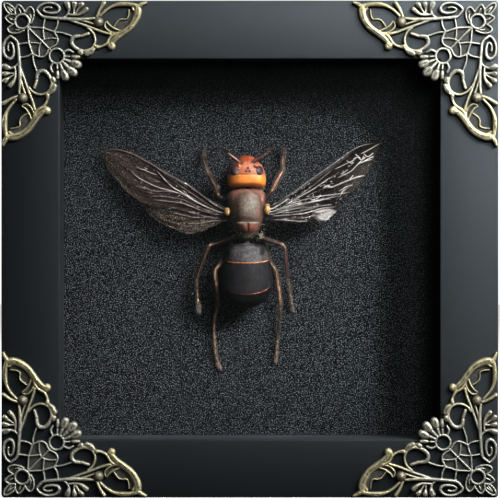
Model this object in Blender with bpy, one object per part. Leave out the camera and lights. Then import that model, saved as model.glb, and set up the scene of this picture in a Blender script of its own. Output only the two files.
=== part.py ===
"""A hornet mounted in a small black shadow box with four cast corner ornaments.

Metres, +Z up. The front looks along -Y. The origin is at the middle of the box's base.
"""

import math

import bmesh
import bpy
import numpy as np
from mathutils import Matrix, Vector

MM = 0.001
GAP = 0.3 * MM

# Frame: four mitred rails with a rabbet behind the front lip.
SIDE = 152 * MM
RAIL_FACE = 17.8 * MM
RAIL_DEPTH = 30 * MM
LIP_DEPTH = 3 * MM
RABBET = 5 * MM
EDGE_ROUND = 0.5 * MM
MITRE_GAP = 0.15 * MM  # cut back from each rail's end

# What the rabbet holds, from front to back.
GLASS_THICK = 2 * MM
LINER_SETBACK = 0.4 * MM
LINER_DEPTH = 16.1 * MM
CARD_THICK = 1 * MM
BOARD_THICK = 3 * MM

# The hanger's lower and upper edges, above the base.
HANGER_BOTTOM = 118 * MM
HANGER_TOP = 124.5 * MM
STUD_SIDES = 8  # of the nail heads and of the balls on the ornaments

# Corner ornaments: one casting each, lying on the front face.
ORNAMENT_THICK = 1.5 * MM
ORNAMENT_GRID = 0.2 * MM
ORNAMENT_REACH = 45 * MM
OUTLINE_TOLERANCE = 0.25 * MM
FILLET = 0.12 * MM  # how far the metal fills the corner where two strokes meet
LEAST_HOLE = 1.5 * MM * MM
BALL_RISE = 0.7 * MM

# The specimen, drawn in millimetres for a body 46.9 mm long and scaled to its real length.
BODY_LENGTH = 47.9 * MM
SPECIMEN_UNIT = BODY_LENGTH / 46.9

HALF = SIDE / 2
DEPTH = RAIL_DEPTH + GAP + ORNAMENT_THICK + BALL_RISE
FRONT = -DEPTH / 2 + GAP + ORNAMENT_THICK + BALL_RISE
BACK = FRONT + RAIL_DEPTH
OPENING = SIDE - 2 * RAIL_FACE
RABBET_EDGE = RAIL_FACE - RABBET
PANE = SIDE - 2 * (RABBET_EDGE + GAP)
GLASS_FRONT = FRONT + LIP_DEPTH + GAP
LINER_FRONT = GLASS_FRONT + GLASS_THICK + GAP
CARD_FRONT = LINER_FRONT + LINER_DEPTH + GAP
BOARD_FRONT = CARD_FRONT + CARD_THICK + GAP
BOARD_BACK = BOARD_FRONT + BOARD_THICK


def clear_scene():
    for obj in list(bpy.data.objects):
        bpy.data.objects.remove(obj)


def material(name, colour, roughness, metallic=0.0, alpha=1.0):
    made = bpy.data.materials.new(name)
    made.use_nodes = True
    shader = made.node_tree.nodes["Principled BSDF"]
    shader.inputs["Base Color"].default_value = (*colour, 1)
    shader.inputs["Roughness"].default_value = roughness
    shader.inputs["Metallic"].default_value = metallic
    shader.inputs["Alpha"].default_value = alpha
    return made


def node(name, mesh, finish):
    obj = bpy.data.objects.new(name, mesh)
    bpy.context.scene.collection.objects.link(obj)
    mesh.materials.append(finish)
    return obj


def mesh_of(name, bm, smooth=False):
    bmesh.ops.recalc_face_normals(bm, faces=bm.faces)
    if bm.calc_volume(signed=True) < 0:
        bmesh.ops.reverse_faces(bm, faces=bm.faces)
    mesh = bpy.data.meshes.new(name)
    bm.to_mesh(mesh)
    bm.free()
    if smooth:
        mesh.shade_smooth()
    return mesh


def helper(obj):
    """Marks an object as a cutter or a piece to join, which is no part itself."""
    obj.hide_render = True
    obj.display_type = "WIRE"
    return obj


def boolean(obj, other, operation):
    modifier = obj.modifiers.new(operation.title(), "BOOLEAN")
    modifier.operation = operation
    modifier.solver = "EXACT"
    modifier.object = other


def block(name, low, high, finish):
    bm = bmesh.new()
    bmesh.ops.create_cube(bm, size=1)
    low, high = Vector(low), Vector(high)
    for vert in bm.verts:
        vert.co = (low + high) / 2 + vert.co * (high - low)
    return node(name, mesh_of(name, bm), finish)


def ring_of_verts(bm, sides, radius, y):
    """Corners of a round outline about the Y axis."""
    angles = [2 * math.pi * i / sides for i in range(sides)]
    return [bm.verts.new((radius * math.cos(a), y, radius * math.sin(a))) for a in angles]


def bridge(bm, rings):
    """The walls between rings of equally many corners."""
    for a, b in zip(rings, rings[1:]):
        for i in range(len(a)):
            j = (i + 1) % len(a)
            bm.faces.new((a[i], a[j], b[j], b[i]))


def fan(bm, ring, pole):
    for i in range(len(ring)):
        bm.faces.new((ring[i], ring[(i + 1) % len(ring)], pole))


def smooth_path(points, steps):
    """A Catmull-Rom curve through the points, with this many steps between two of them."""
    pts = np.array(points, float)
    ends = np.vstack([2 * pts[0] - pts[1], pts, 2 * pts[-1] - pts[-2]])
    t = np.arange(steps)[:, None] / steps
    rows = []
    for a, b, c, d in zip(ends, ends[1:], ends[2:], ends[3:]):
        rows.append(
            0.5 * (2 * b + (c - a) * t + (2 * a - 5 * b + 4 * c - d) * t**2 + (3 * b - a - 3 * c + d) * t**3)
        )
    return np.vstack([*rows, pts[-1:]])


# The frame and what closes it


def rail(name, turn, finish):
    """One mitred rail: the bottom rail's section, turned about the middle of the frame."""
    section = [
        (0, FRONT), (RAIL_FACE, FRONT), (RAIL_FACE, FRONT + LIP_DEPTH),
        (RABBET_EDGE, FRONT + LIP_DEPTH), (RABBET_EDGE, BACK), (0, BACK),
    ]
    bm = bmesh.new()
    ends = []
    for side in (-1, 1):
        ends.append([bm.verts.new((side * (HALF - inward - MITRE_GAP), y, inward)) for inward, y in section])
    bm.faces.new(ends[0])
    bm.faces.new(reversed(ends[1]))
    count = len(section)
    for i in range(count):
        j = (i + 1) % count
        bm.faces.new((ends[0][i], ends[1][i], ends[1][j], ends[0][j]))
    outer_front, inner_front, outer_back = 0, 1, 5
    eased = [bm.edges.get((ends[0][i], ends[1][i])) for i in (outer_front, inner_front, outer_back)]
    bmesh.ops.bevel(bm, geom=eased, offset=EDGE_ROUND, segments=2, profile=0.5, affect="EDGES")
    middle = (0, 0, HALF)
    bmesh.ops.rotate(bm, verts=bm.verts, cent=middle, matrix=Matrix.Rotation(-turn, 3, "Y"))
    mesh = mesh_of(name, bm, smooth=True)
    mesh.set_sharp_from_angle(angle=math.radians(40))
    node(name, mesh, finish)


def build_frame(black_paint):
    for i, name in enumerate(("rail_bottom", "rail_right", "rail_top", "rail_left")):
        rail(name, i * math.pi / 2, black_paint)


def square_sheet(name, half_side, front, thick, finish):
    block(name, (-half_side, front, HALF - half_side), (half_side, front + thick, HALF + half_side), finish)


def build_box(glass, black_card, grain_paper, fibreboard):
    square_sheet("glass_pane", PANE / 2, GLASS_FRONT, GLASS_THICK, glass)
    outer = PANE / 2
    inner = OPENING / 2 + LINER_SETBACK
    back = LINER_FRONT + LINER_DEPTH
    for name, x0, x1, z0, z1 in (
        ("liner_bottom", -outer, outer, -outer, -inner),
        ("liner_top", -outer, outer, inner, outer),
        ("liner_left", -outer, -inner, -inner + GAP, inner - GAP),
        ("liner_right", inner, outer, -inner + GAP, inner - GAP),
    ):
        block(name, (x0, LINER_FRONT, HALF + z0), (x1, back, HALF + z1), black_card)
    square_sheet("backing_card", PANE / 2, CARD_FRONT, CARD_THICK, grain_paper)
    square_sheet("back_board", PANE / 2, BOARD_FRONT, BOARD_THICK, fibreboard)


def build_fixings(steel):
    """The metal points that hold the back board, and the sawtooth hanger with its two nails."""
    tab_long, tab_wide, tab_thick = 11 * MM, 7 * MM, 0.6 * MM
    centre = HALF - RABBET_EDGE - GAP - tab_long / 2
    front = BOARD_BACK + GAP
    for name, x, z in (("left", -1, 0), ("right", 1, 0), ("top", 0, 1), ("bottom", 0, -1)):
        wide = (tab_long if x else tab_wide) / 2
        high = (tab_long if z else tab_wide) / 2
        middle_x, middle_z = x * centre, HALF + z * centre
        block(
            f"back_tab_{name}",
            (middle_x - wide, front, middle_z - high),
            (middle_x + wide, front + tab_thick, middle_z + high),
            steel,
        )
    build_hanger(steel, front)


def build_hanger(steel, front):
    """A strip with a toothed lower edge, raised off the board between its two feet."""
    half_long, foot, rise = 20 * MM, 7 * MM, 1.2 * MM
    thick, tooth, teeth = 0.7 * MM, 1.1 * MM, 6
    middle = half_long - foot - rise
    columns = [(-half_long, 0, 0), (-half_long + foot, 0, 0)]
    columns += [(middle * (i / teeth - 1), rise, tooth * (i % 2)) for i in range(2 * teeth + 1)]
    columns += [(half_long - foot, 0, 0), (half_long, 0, 0)]
    bm = bmesh.new()
    rings = []
    for x, lift, cut in columns:
        near, far = front + lift, front + lift + thick
        low = HANGER_BOTTOM + cut
        corners = [(near, low), (far, low), (far, HANGER_TOP), (near, HANGER_TOP)]
        rings.append([bm.verts.new((x, y, z)) for y, z in corners])
    bridge(bm, rings)
    bm.faces.new(rings[0])
    bm.faces.new(rings[-1])
    node("hanger", mesh_of("hanger", bm), steel)
    for name, side in (("left", -1), ("right", 1)):
        build_nail(f"hanger_nail_{name}", side * (half_long - foot / 2), front + thick + GAP, steel)


def build_nail(name, x, y, steel):
    """A nail head: a low dome, lying on the hanger's foot."""
    radius, height = 1.7 * MM, 0.8 * MM
    bm = bmesh.new()
    profile = ((1, 0), (1, 0.4), (0.6, 1))  # share of the radius, share of the height
    rings = [ring_of_verts(bm, STUD_SIDES, radius * share, rise * height) for share, rise in profile]
    bridge(bm, rings)
    bm.faces.new(rings[0])
    bm.faces.new(rings[-1])
    nail = node(name, mesh_of(name, bm, smooth=True), steel)
    nail.location = (x, y, (HANGER_BOTTOM + HANGER_TOP) / 2)


# The corner ornaments. Points are (u, v) in millimetres from the frame's corner,
# along its two edges. Each stroke off the diagonal has a twin with u and v swapped.

TWIN_STROKES = {
    # (half width at the start, half width at the end, points)
    "flower petal beside the edge": (0.34, 0.34, [
        (7.3, 4.1), (7.1, 2.8), (5.2, 1.3), (4.35, 2.4), (4.4, 4.3),
    ]),
    "flower petal behind": (0.34, 0.34, [
        (7.3, 2.9), (8.7, 2.0), (10.0, 3.1), (9.9, 5.2), (9.2, 6.9), (8.5, 6.8),
    ]),
    "flower petal to the corner": (0.34, 0.34, [(4.35, 4.3), (4.1, 2.4), (2.8, 1.35), (0.85, 0.85)]),
    "petal floor beside the edge": (0.95, 0.75, [(6.0, 3.9), (5.5, 2.6)]),
    "petal floor behind": (0.85, 0.75, [(8.7, 3.2), (8.9, 5.6)]),
    "petal floor to the corner": (0.95, 0.8, [(3.9, 3.6), (2.0, 1.8)]),
    "volute": (0.36, 0.42, [
        (28.5, 5.5), (22.3, 5.7), (17.9, 5.55), (13.2, 5.2), (11.5, 4.2), (10.95, 2.8), (12.1, 1.4),
        (14.7, 0.75), (17.3, 1.5), (17.9, 2.9), (16.8, 3.85), (15.0, 3.9), (13.4, 3.5), (13.0, 2.7),
        (14.0, 2.1), (15.2, 2.3),
    ]),
    "edge leaf finger 1": (0.36, 0.6, [(19.3, 5.4), (20.6, 4.1), (20.6, 2.4), (20.2, 1.2)]),
    "edge leaf finger 2": (0.4, 0.6, [(22.0, 4.5), (22.6, 1.2)]),
    "edge leaf finger 3": (0.4, 0.6, [(22.6, 4.4), (24.2, 1.7)]),
    "edge leaf finger 4": (0.36, 0.52, [(20.7, 4.3), (23.2, 4.4), (25.9, 2.7)]),
    "ball seat": (1.55, 1.55, [(29.7, 6.65), (29.9, 6.65)]),
    "spike": (0.42, 0.5, [(29.3, 5.4), (30.3, 2.7), (31.7, 0.75)]),
    "loop, edge side": (0.5, 0.72, [
        (30.3, 4.9), (32.2, 2.8), (34.4, 1.7), (36.7, 1.3), (39.2, 1.4), (42.0, 1.7),
    ]),
    "loop tip": (0.55, 0.42, [(41.6, 1.9), (43.0, 1.1), (44.2, 0.6)]),
    "loop, inner side": (0.85, 0.62, [
        (41.9, 2.1), (41.5, 4.4), (40.6, 6.7), (39.2, 8.5),
        (37.7, 9.7), (36.2, 10.75), (34.6, 12.3), (33.6, 13.8),
    ]),
    "loop corner web": (0.9, 0.6, [(40.9, 2.6), (40.1, 2.4)]),
    "loop film": (1.5, 1.2, [(39.4, 4.9), (37.6, 7.9)]),
    "bud": (1.0, 1.0, [(33.3, 14.1), (33.5, 14.3)]),
    "leaf in the loop": (0.5, 0.42, [(37.0, 9.4), (35.2, 9.3), (33.4, 8.4), (32.4, 6.9)]),
    "leaf body": (0.8, 0.8, [(35.0, 9.1), (33.5, 8.2)]),
    "wave": (0.42, 0.5, [
        (36.2, 9.9), (34.0, 10.9), (33.1, 12.0), (32.1, 13.3), (30.7, 14.0), (29.5, 13.9), (28.9, 13.9),
    ]),
    "lower stem": (0.4, 0.36, [
        (33.8, 10.3), (32.1, 9.9), (29.9, 9.4), (28.0, 8.7), (25.5, 7.7), (22.7, 6.7), (20.4, 5.8),
    ]),
    "scroll": (0.4, 0.52, [
        (26.3, 8.2), (27.7, 9.6), (28.6, 11.4), (28.6, 13.1), (27.7, 14.6), (26.3, 15.4), (24.8, 15.5),
        (23.3, 15.0), (22.1, 13.9), (21.5, 12.5), (21.9, 11.3), (23.0, 10.7), (24.2, 10.75),
    ]),
    "scroll end bar": (0.55, 0.5, [(24.2, 10.8), (26.5, 10.1)]),
    "crest": (0.7, 0.75, [(28.2, 15.3), (27.2, 16.0), (25.9, 16.3), (24.4, 16.3)]),
    "tie to the scroll": (0.32, 0.32, [(21.9, 11.0), (19.6, 10.4), (17.8, 9.8), (16.4, 9.8)]),
    "leaf rim": (0.34, 0.34, [(16.2, 9.6), (17.05, 10.5), (17.2, 12.1), (16.5, 13.5), (14.7, 14.7)]),
    "leaf upper edge": (0.34, 0.34, [(16.2, 9.6), (12.95, 8.55), (8.5, 8.2)]),
    "leaf vein to the stem": (0.32, 0.32, [(13.5, 5.4), (12.95, 8.2), (13.1, 11.6)]),
    "tie to the stem": (0.32, 0.32, [(17.5, 5.7), (17.05, 8.2), (16.2, 9.6)]),
    "leaf floor": (1.3, 2.6, [(10.3, 9.3), (14.4, 11.9)]),
    "fan finger": (0.42, 0.5, [(19.2, 17.1), (21.5, 17.2), (23.7, 17.25)]),
    "fan lobe": (0.5, 1.05, [(19.1, 17.9), (21.6, 18.8), (23.1, 19.4)]),
}
DIAGONAL_STROKES = {
    "middle fan lobe": (0.5, 1.05, [(18.6, 18.6), (20.4, 20.4), (21.8, 21.8)]),
}
RINGS = (((6.45, 6.45), 2.17, 0.4), ((17.0, 17.0), 2.2, 0.4))  # centre, radius, half width
BALL_CENTRE = (29.8, 6.65)
BALL_RADIUS = 1.6


def stroke_distance(u, v, path, widths):
    """Signed distance from the grid points to the outline of one stroke, negative inside."""
    nearest = np.full(u.shape, ORNAMENT_REACH / MM)
    for (u0, v0), (u1, v1), w0, w1 in zip(path, path[1:], widths, widths[1:]):
        du, dv = u1 - u0, v1 - v0
        share = np.clip(((u - u0) * du + (v - v0) * dv) / (du * du + dv * dv), 0, 1)
        reach = np.hypot(u - u0 - share * du, v - v0 - share * dv) - (w0 + (w1 - w0) * share)
        nearest = np.minimum(nearest, reach)
    return nearest


def ornament_field(u, v):
    """Signed distance to the casting's outline at the grid points, with the strokes run together."""
    fillet = FILLET / MM
    steps = 5
    metal = np.zeros(u.shape)
    strokes = [(s, True) for s in TWIN_STROKES.values()] + [(s, False) for s in DIAGONAL_STROKES.values()]
    for (first, last, points), twin in strokes:
        path = smooth_path(points, steps)
        widths = np.linspace(first, last, len(path))
        for line in (path, path[:, ::-1]) if twin else (path,):
            metal += np.exp(-stroke_distance(u, v, line, widths) / fillet)
    for (cu, cv), radius, width in RINGS:
        metal += np.exp(-(np.abs(np.hypot(u - cu, v - cv) - radius) - width) / fillet)
    field = -fillet * np.log(metal + 1e-30)
    for (cu, cv), radius, width in RINGS:
        field = np.maximum(field, radius - width - np.hypot(u - cu, v - cv))
    return field


def contours(field, step):
    """Closed outlines of the field's zero level, in the grid's units times step."""
    links = {}
    points = {}

    def crossing(i, j, k, m):
        a, b = field[i, j], field[k, m]
        t = a / (a - b)
        key = (i + k, j + m)
        points[key] = ((i + (k - i) * t) * step, (j + (m - j) * t) * step)
        return key

    inside = field < 0
    mixed = inside[:-1, :-1] ^ inside[1:, :-1]
    mixed |= inside[:-1, :-1] ^ inside[:-1, 1:]
    mixed |= inside[:-1, :-1] ^ inside[1:, 1:]
    for i, j in np.argwhere(mixed):
        ring = [(i, j), (i + 1, j), (i + 1, j + 1), (i, j + 1)]
        crossed = []
        for a, b in zip(ring, ring[1:] + ring[:1]):
            if inside[a] != inside[b]:
                low, high = min(a, b), max(a, b)
                crossed.append((crossing(*low, *high), inside[a]))
        # Each piece starts where the ring leaves the solid, and ends where it comes back in.
        while crossed:
            n = next(n for n, (_, leaving) in enumerate(crossed) if leaving)
            start = crossed.pop(n)[0]
            end = crossed.pop(n % len(crossed))[0]
            links[start] = end
    loops = []
    while links:
        first, here = links.popitem()
        loop = [first]
        while here != first:
            loop.append(here)
            here = links.pop(here)
        loops.append(np.array([points[key] for key in loop]))
    return loops


def thinned(loop, tolerance):
    """The closed loop with only the points that keep it within the tolerance."""
    far = int(np.argmax(np.hypot(*(loop - loop[0]).T)))
    kept = {0, far}
    spans = [(0, far), (far, len(loop))]
    closed = np.vstack([loop, loop[:1]])
    while spans:
        a, b = spans.pop()
        if b - a < 2:
            continue
        chord = closed[b] - closed[a]
        off = closed[a + 1:b] - closed[a]
        length = max(np.hypot(*chord), 1e-9)
        away = np.abs(off[:, 0] * chord[1] - off[:, 1] * chord[0]) / length
        if away.max() > tolerance:
            middle = a + 1 + int(np.argmax(away))
            kept.add(middle)
            spans += [(a, middle), (middle, b)]
    return loop[sorted(kept)]


def ornament_mesh():
    """The casting for the corner at the origin, spreading along +X and -Z, with its back at y = 0."""
    grid = np.arange(-1, ORNAMENT_REACH / MM, ORNAMENT_GRID / MM)
    u, v = np.meshgrid(grid, grid, indexing="ij")
    outline = bpy.data.curves.new("ornament_outline", "CURVE")
    outline.dimensions = "2D"
    outline.fill_mode = "BOTH"
    outline.extrude = ORNAMENT_THICK / 2
    for loop in contours(ornament_field(u, v), ORNAMENT_GRID / MM):
        x, y = loop.T * MM
        if abs(np.dot(x, np.roll(y, 1)) - np.dot(y, np.roll(x, 1))) / 2 < LEAST_HOLE:
            continue
        points = (thinned(loop, OUTLINE_TOLERANCE / MM) + grid[0]) * MM
        spline = outline.splines.new("POLY")
        spline.points.add(len(points) - 1)
        for corner, (across, down) in zip(spline.points, points):
            corner.co = (across, down, 0, 1)
        spline.use_cyclic_u = True
    shape = bpy.data.objects.new("ornament_outline", outline)
    mesh = bpy.data.meshes.new_from_object(shape)
    bpy.data.objects.remove(shape)
    bm = bmesh.new()
    bm.from_mesh(mesh)
    bmesh.ops.remove_doubles(bm, verts=bm.verts, dist=0.001 * MM)
    for vert in bm.verts:
        vert.co = (vert.co.x, -ORNAMENT_THICK / 2 + vert.co.z, -vert.co.y)
    return mesh_of("corner_ornament", bm)


def ball_mesh():
    """A dome that sits in each arm of the casting and stands proud of it."""
    foot = -ORNAMENT_THICK / 3
    crown = -(ORNAMENT_THICK + BALL_RISE)
    profile = [(1, foot), (0.85, -(ORNAMENT_THICK + BALL_RISE / 2))]
    bm = bmesh.new()
    rings = [ring_of_verts(bm, STUD_SIDES, share * BALL_RADIUS * MM, y) for share, y in profile]
    bridge(bm, rings)
    bm.faces.new(rings[0])
    fan(bm, rings[-1], bm.verts.new((0, crown, 0)))
    return mesh_of("ornament_ball", bm, smooth=True)


def build_ornaments(bronze):
    casting = ornament_mesh()
    ball = ball_mesh()
    corners = (("top_left", -1, 1), ("top_right", 1, 1), ("bottom_right", 1, -1), ("bottom_left", -1, -1))
    for i, (name, side, up) in enumerate(corners):
        turn = -i * math.pi / 2
        obj = node(f"corner_ornament_{name}", casting.copy(), bronze)
        obj.location = (side * HALF, FRONT - GAP, HALF + up * HALF)
        obj.rotation_euler = (0, -turn, 0)
        for u, v in (BALL_CENTRE, BALL_CENTRE[::-1]):
            stud = helper(node(f"ball_{name}_{u}", ball.copy(), bronze))
            stud.parent = obj
            stud.location = (u * MM, 0, -v * MM)
            boolean(obj, stud, "UNION")


# The hornet. Positions are (x, z, h) in the specimen's units: x and z from the middle
# of the frame, h above the backing card.

HEAD_RINGS = [
    # z, half width, middle h, half height
    (18.8, 4.6, 6.9, 2.6), (19.3, 5.5, 7.1, 3.4), (20.6, 5.85, 7.2, 4.0), (22.5, 5.8, 7.2, 4.3),
    (24.5, 5.4, 7.0, 4.4), (26.3, 4.7, 6.4, 4.3), (27.8, 3.5, 5.6, 3.8), (28.7, 2.2, 4.9, 3.0),
]
THORAX_RINGS = [
    (18.2, 3.6, 6.0, 2.7), (17.8, 5.5, 6.2, 4.0), (16.2, 6.3, 6.6, 5.2), (13.4, 6.55, 6.9, 6.0),
    (10.3, 6.35, 7.0, 6.2), (7.4, 5.6, 6.8, 5.9), (4.9, 4.8, 6.4, 5.1), (3.6, 3.8, 5.8, 4.1),
    (2.9, 2.4, 5.2, 2.6),
]
ABDOMEN_RINGS = [
    (1.8, 2.6, 5.8, 2.4), (1.3, 5.3, 6.6, 4.2), (-0.8, 6.5, 7.0, 5.4), (-3.9, 6.85, 7.2, 6.0),
    (-4.5, 7.5, 7.2, 6.2), (-7.4, 8.05, 7.1, 6.35), (-10.4, 8.1, 6.9, 6.2), (-13.0, 7.3, 6.4, 5.6),
    (-15.2, 5.7, 5.7, 4.8), (-17.0, 3.8, 5.0, 3.6), (-18.0, 2.0, 4.4, 2.2),
]
HEAD_X, THORAX_X, ABDOMEN_X = -1.0, -0.6, -1.15
DOME_SHARE, DOME_LEAST = 0.35, 0.15  # how far a body's end bulges past its last ring
# centre, radii along x, z and h
EYES = [((-4.5, 24.2, 8.7), (1.25, 2.3, 2.5)), ((2.55, 24.2, 8.7), (1.25, 2.3, 2.5))]
TEGULAE = [((-6.9, 11.6, 9.6), (1.15, 1.35, 1.1)), ((5.5, 12.2, 9.6), (1.15, 1.35, 1.1))]

# x, z, h, radius
ANTENNAE = {
    "antenna_left": [
        (-2.4, 26.2, 8.6, 0.4), (-4.5, 27.9, 9.7, 0.38), (-6.2, 29.3, 10.1, 0.38), (-7.6, 30.4, 9.2, 0.32),
        (-9.2, 30.9, 7.5, 0.3), (-10.8, 30.8, 5.5, 0.3), (-12.0, 29.9, 3.7, 0.28), (-12.3, 27.9, 2.2, 0.24),
    ],
    "antenna_right": [
        (0.4, 26.4, 8.8, 0.4), (2.4, 28.0, 9.9, 0.38), (4.35, 28.9, 10.2, 0.38), (5.3, 29.7, 9.3, 0.32),
        (6.3, 30.7, 7.7, 0.3), (7.2, 31.0, 5.9, 0.3), (7.5, 30.2, 4.1, 0.28), (7.0, 29.4, 2.6, 0.24),
    ],
}
LEGS = {
    "foreleg_left": [
        (-6.0, 15.4, 4.8, 0.95), (-8.4, 16.0, 5.8, 0.95), (-9.6, 16.8, 6.4, 0.7), (-10.2, 17.8, 6.5, 0.75),
        (-12.4, 21.8, 5.2, 0.85), (-14.1, 25.0, 3.6, 0.55), (-14.7, 27.3, 2.5, 0.42),
        (-15.0, 29.6, 1.8, 0.45), (-15.5, 31.2, 1.2, 0.42), (-15.8, 32.3, 0.8, 0.22),
    ],
    "foreleg_right": [
        (4.4, 15.2, 4.8, 0.95), (6.6, 16.0, 5.8, 0.95), (7.7, 17.2, 6.4, 0.7), (8.3, 18.3, 6.5, 0.75),
        (10.2, 22.0, 5.2, 0.85), (10.9, 25.0, 3.8, 0.55), (10.7, 27.6, 2.8, 0.42), (10.8, 29.8, 2.0, 0.45),
        (10.9, 31.6, 1.4, 0.42), (10.8, 33.0, 0.9, 0.22),
    ],
    "midleg_left": [
        (-5.0, 3.9, 4.0, 0.8), (-7.8, 2.7, 4.6, 0.85), (-10.6, 1.6, 5.2, 0.6), (-12.2, 1.2, 5.3, 0.62),
        (-13.2, -0.2, 5.0, 0.55), (-14.6, -4.0, 3.9, 0.66), (-16.2, -8.8, 2.4, 0.6),
        (-16.4, -10.0, 2.1, 0.42), (-16.1, -13.2, 1.6, 0.42), (-15.9, -16.4, 1.2, 0.45),
        (-15.5, -18.9, 0.8, 0.25),
    ],
    "midleg_right": [
        (3.6, 3.6, 4.0, 0.8), (6.3, 2.6, 4.6, 0.85), (9.0, 1.6, 5.2, 0.6), (10.3, 1.3, 5.3, 0.62),
        (10.9, -0.2, 5.0, 0.55), (11.2, -4.2, 4.0, 0.66), (11.4, -7.6, 2.9, 0.6), (11.7, -8.8, 2.5, 0.42),
        (12.3, -12.6, 1.7, 0.42), (12.8, -16.4, 1.2, 0.45), (13.2, -19.0, 0.8, 0.25),
    ],
    "hindleg_left": [
        (-5.4, 2.6, 2.3, 0.75), (-7.3, -1.2, 2.2, 0.8), (-9.2, -4.5, 3.0, 0.7), (-10.4, -6.4, 3.7, 0.6),
        (-10.6, -8.2, 3.9, 0.65), (-10.1, -12.5, 3.5, 0.85), (-9.8, -17.2, 2.8, 0.75),
        (-10.1, -18.6, 2.5, 0.45), (-11.0, -22.7, 2.0, 0.46), (-10.8, -27.0, 1.5, 0.42),
        (-10.7, -30.4, 1.2, 0.42), (-10.3, -33.6, 0.9, 0.45), (-9.2, -36.4, 0.8, 0.25),
    ],
    "hindleg_right": [
        (4.0, 2.6, 2.3, 0.75), (5.4, -1.3, 2.2, 0.8), (6.6, -4.5, 3.1, 0.7), (7.9, -6.4, 3.8, 0.6),
        (8.3, -8.2, 4.0, 0.65), (8.9, -12.5, 3.5, 0.85), (9.5, -17.4, 2.8, 0.75), (9.4, -18.8, 2.5, 0.45),
        (9.0, -23.0, 2.0, 0.46), (8.6, -27.0, 1.5, 0.42), (8.3, -29.8, 1.2, 0.42), (8.2, -32.4, 0.9, 0.45),
        (8.0, -34.4, 0.8, 0.25),
    ],
}

WING_THICK = 0.3
WINGS = {
    # leading edge, trailing edge: (x, z) from the root to the tip. root h, tip h, pleats, pleat height.
    "forewing_left": (
        [(-7.8, 12.6), (-16.5, 18.9), (-26.1, 25.5), (-35.1, 29.5), (-44.0, 31.3), (-46.9, 30.3)],
        [(-7.9, 10.9), (-20.1, 11.4), (-32.6, 14.1), (-38.0, 17.7), (-43.4, 23.6), (-46.7, 29.6)],
        8.6, 2.6, 3, 0.35,
    ),
    "hindwing_left": (
        [(-7.9, 9.4), (-14.0, 10.0), (-22.0, 12.0), (-29.6, 13.3), (-32.9, 13.4)],
        [(-7.9, 8.8), (-12.9, 6.0), (-17.0, 4.5), (-24.3, 6.3), (-29.9, 9.6), (-33.0, 12.7)],
        7.5, 1.6, 2, 0.3,
    ),
    "forewing_right": (
        [(6.9, 12.9), (13.5, 17.7), (21.8, 24.3), (30.8, 30.2), (37.5, 32.8), (40.6, 33.0)],
        [(6.9, 11.0), (18.8, 13.2), (29.6, 16.2), (35.6, 22.4), (38.6, 28.1), (40.6, 32.3)],
        8.8, 8.0, 3, 0.6,
    ),
    "hindwing_right": (
        [(6.9, 9.4), (12.9, 11.0), (20.0, 12.4), (28.2, 13.8), (28.6, 13.7)],
        [(6.9, 8.8), (14.6, 8.1), (18.8, 8.4), (22.4, 7.9), (26.0, 9.6), (28.7, 12.8)],
        7.4, 5.0, 2, 0.45,
    ),
}


def place(x, z, h):
    """A point given in the specimen's units on and above the backing card."""
    return Vector((x * SPECIMEN_UNIT, CARD_FRONT - h * SPECIMEN_UNIT, HALF + z * SPECIMEN_UNIT))


def body_of_rings(name, rings, middle_x, finish):
    """A closed body through oval rings, with a low dome at both ends."""
    sides = 16
    angles = [2 * math.pi * i / sides for i in range(sides)]
    bm = bmesh.new()
    loops = []
    for z, wide, middle, high in rings:
        outline = [(middle_x + wide * math.cos(a), z, middle + high * math.sin(a)) for a in angles]
        loops.append([bm.verts.new(place(*point)) for point in outline])
    bridge(bm, loops)
    for loop, end, inner in ((loops[0], rings[0], rings[1]), (loops[-1], rings[-1], rings[-2])):
        outward = end[0] - inner[0]
        bulge = DOME_SHARE * outward + math.copysign(DOME_LEAST, outward)
        fan(bm, loop, bm.verts.new(place(middle_x, end[0] + bulge, end[2])))
    return node(name, mesh_of(name, bm, smooth=True), finish)


def oval(name, centre, radii, finish):
    """An egg shape to be joined to a body."""
    bm = bmesh.new()
    bmesh.ops.create_uvsphere(bm, u_segments=8, v_segments=6, radius=1)
    for vert in bm.verts:
        across, h, z = vert.co
        vert.co = place(centre[0] + across * radii[0], centre[1] + z * radii[1], centre[2] + h * radii[2])
    return helper(node(name, mesh_of(name, bm, smooth=True), finish))


def limb(name, stations, finish):
    """A closed six-sided tube of changing radius through its stations."""
    sides = 6
    angles = [2 * math.pi * i / sides for i in range(sides)]
    points = [place(x, z, h) for x, z, h, _ in stations]
    bm = bmesh.new()
    loops = []
    across = (points[1] - points[0]).cross(Vector((0, -1, 0)))
    for i, point in enumerate(points):
        along = (points[min(i + 1, len(points) - 1)] - points[max(i - 1, 0)]).normalized()
        across = (across - along * along.dot(across)).normalized()
        lift = across.cross(along)
        radius = stations[i][3] * SPECIMEN_UNIT
        spokes = [across * math.cos(a) + lift * math.sin(a) for a in angles]
        loops.append([bm.verts.new(point + radius * spoke) for spoke in spokes])
    bridge(bm, loops)
    bm.faces.new(loops[0])
    bm.faces.new(loops[-1])
    return node(name, mesh_of(name, bm, smooth=True), finish)


def along_edge(points, count):
    """Points evenly spaced by length on a smooth curve."""
    path = smooth_path(points, 12)
    reach = np.concatenate([[0], np.cumsum(np.hypot(*np.diff(path, axis=0).T))])
    wanted = np.linspace(0, reach[-1], count)
    return np.column_stack([np.interp(wanted, reach, path[:, k]) for k in (0, 1)])


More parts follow.
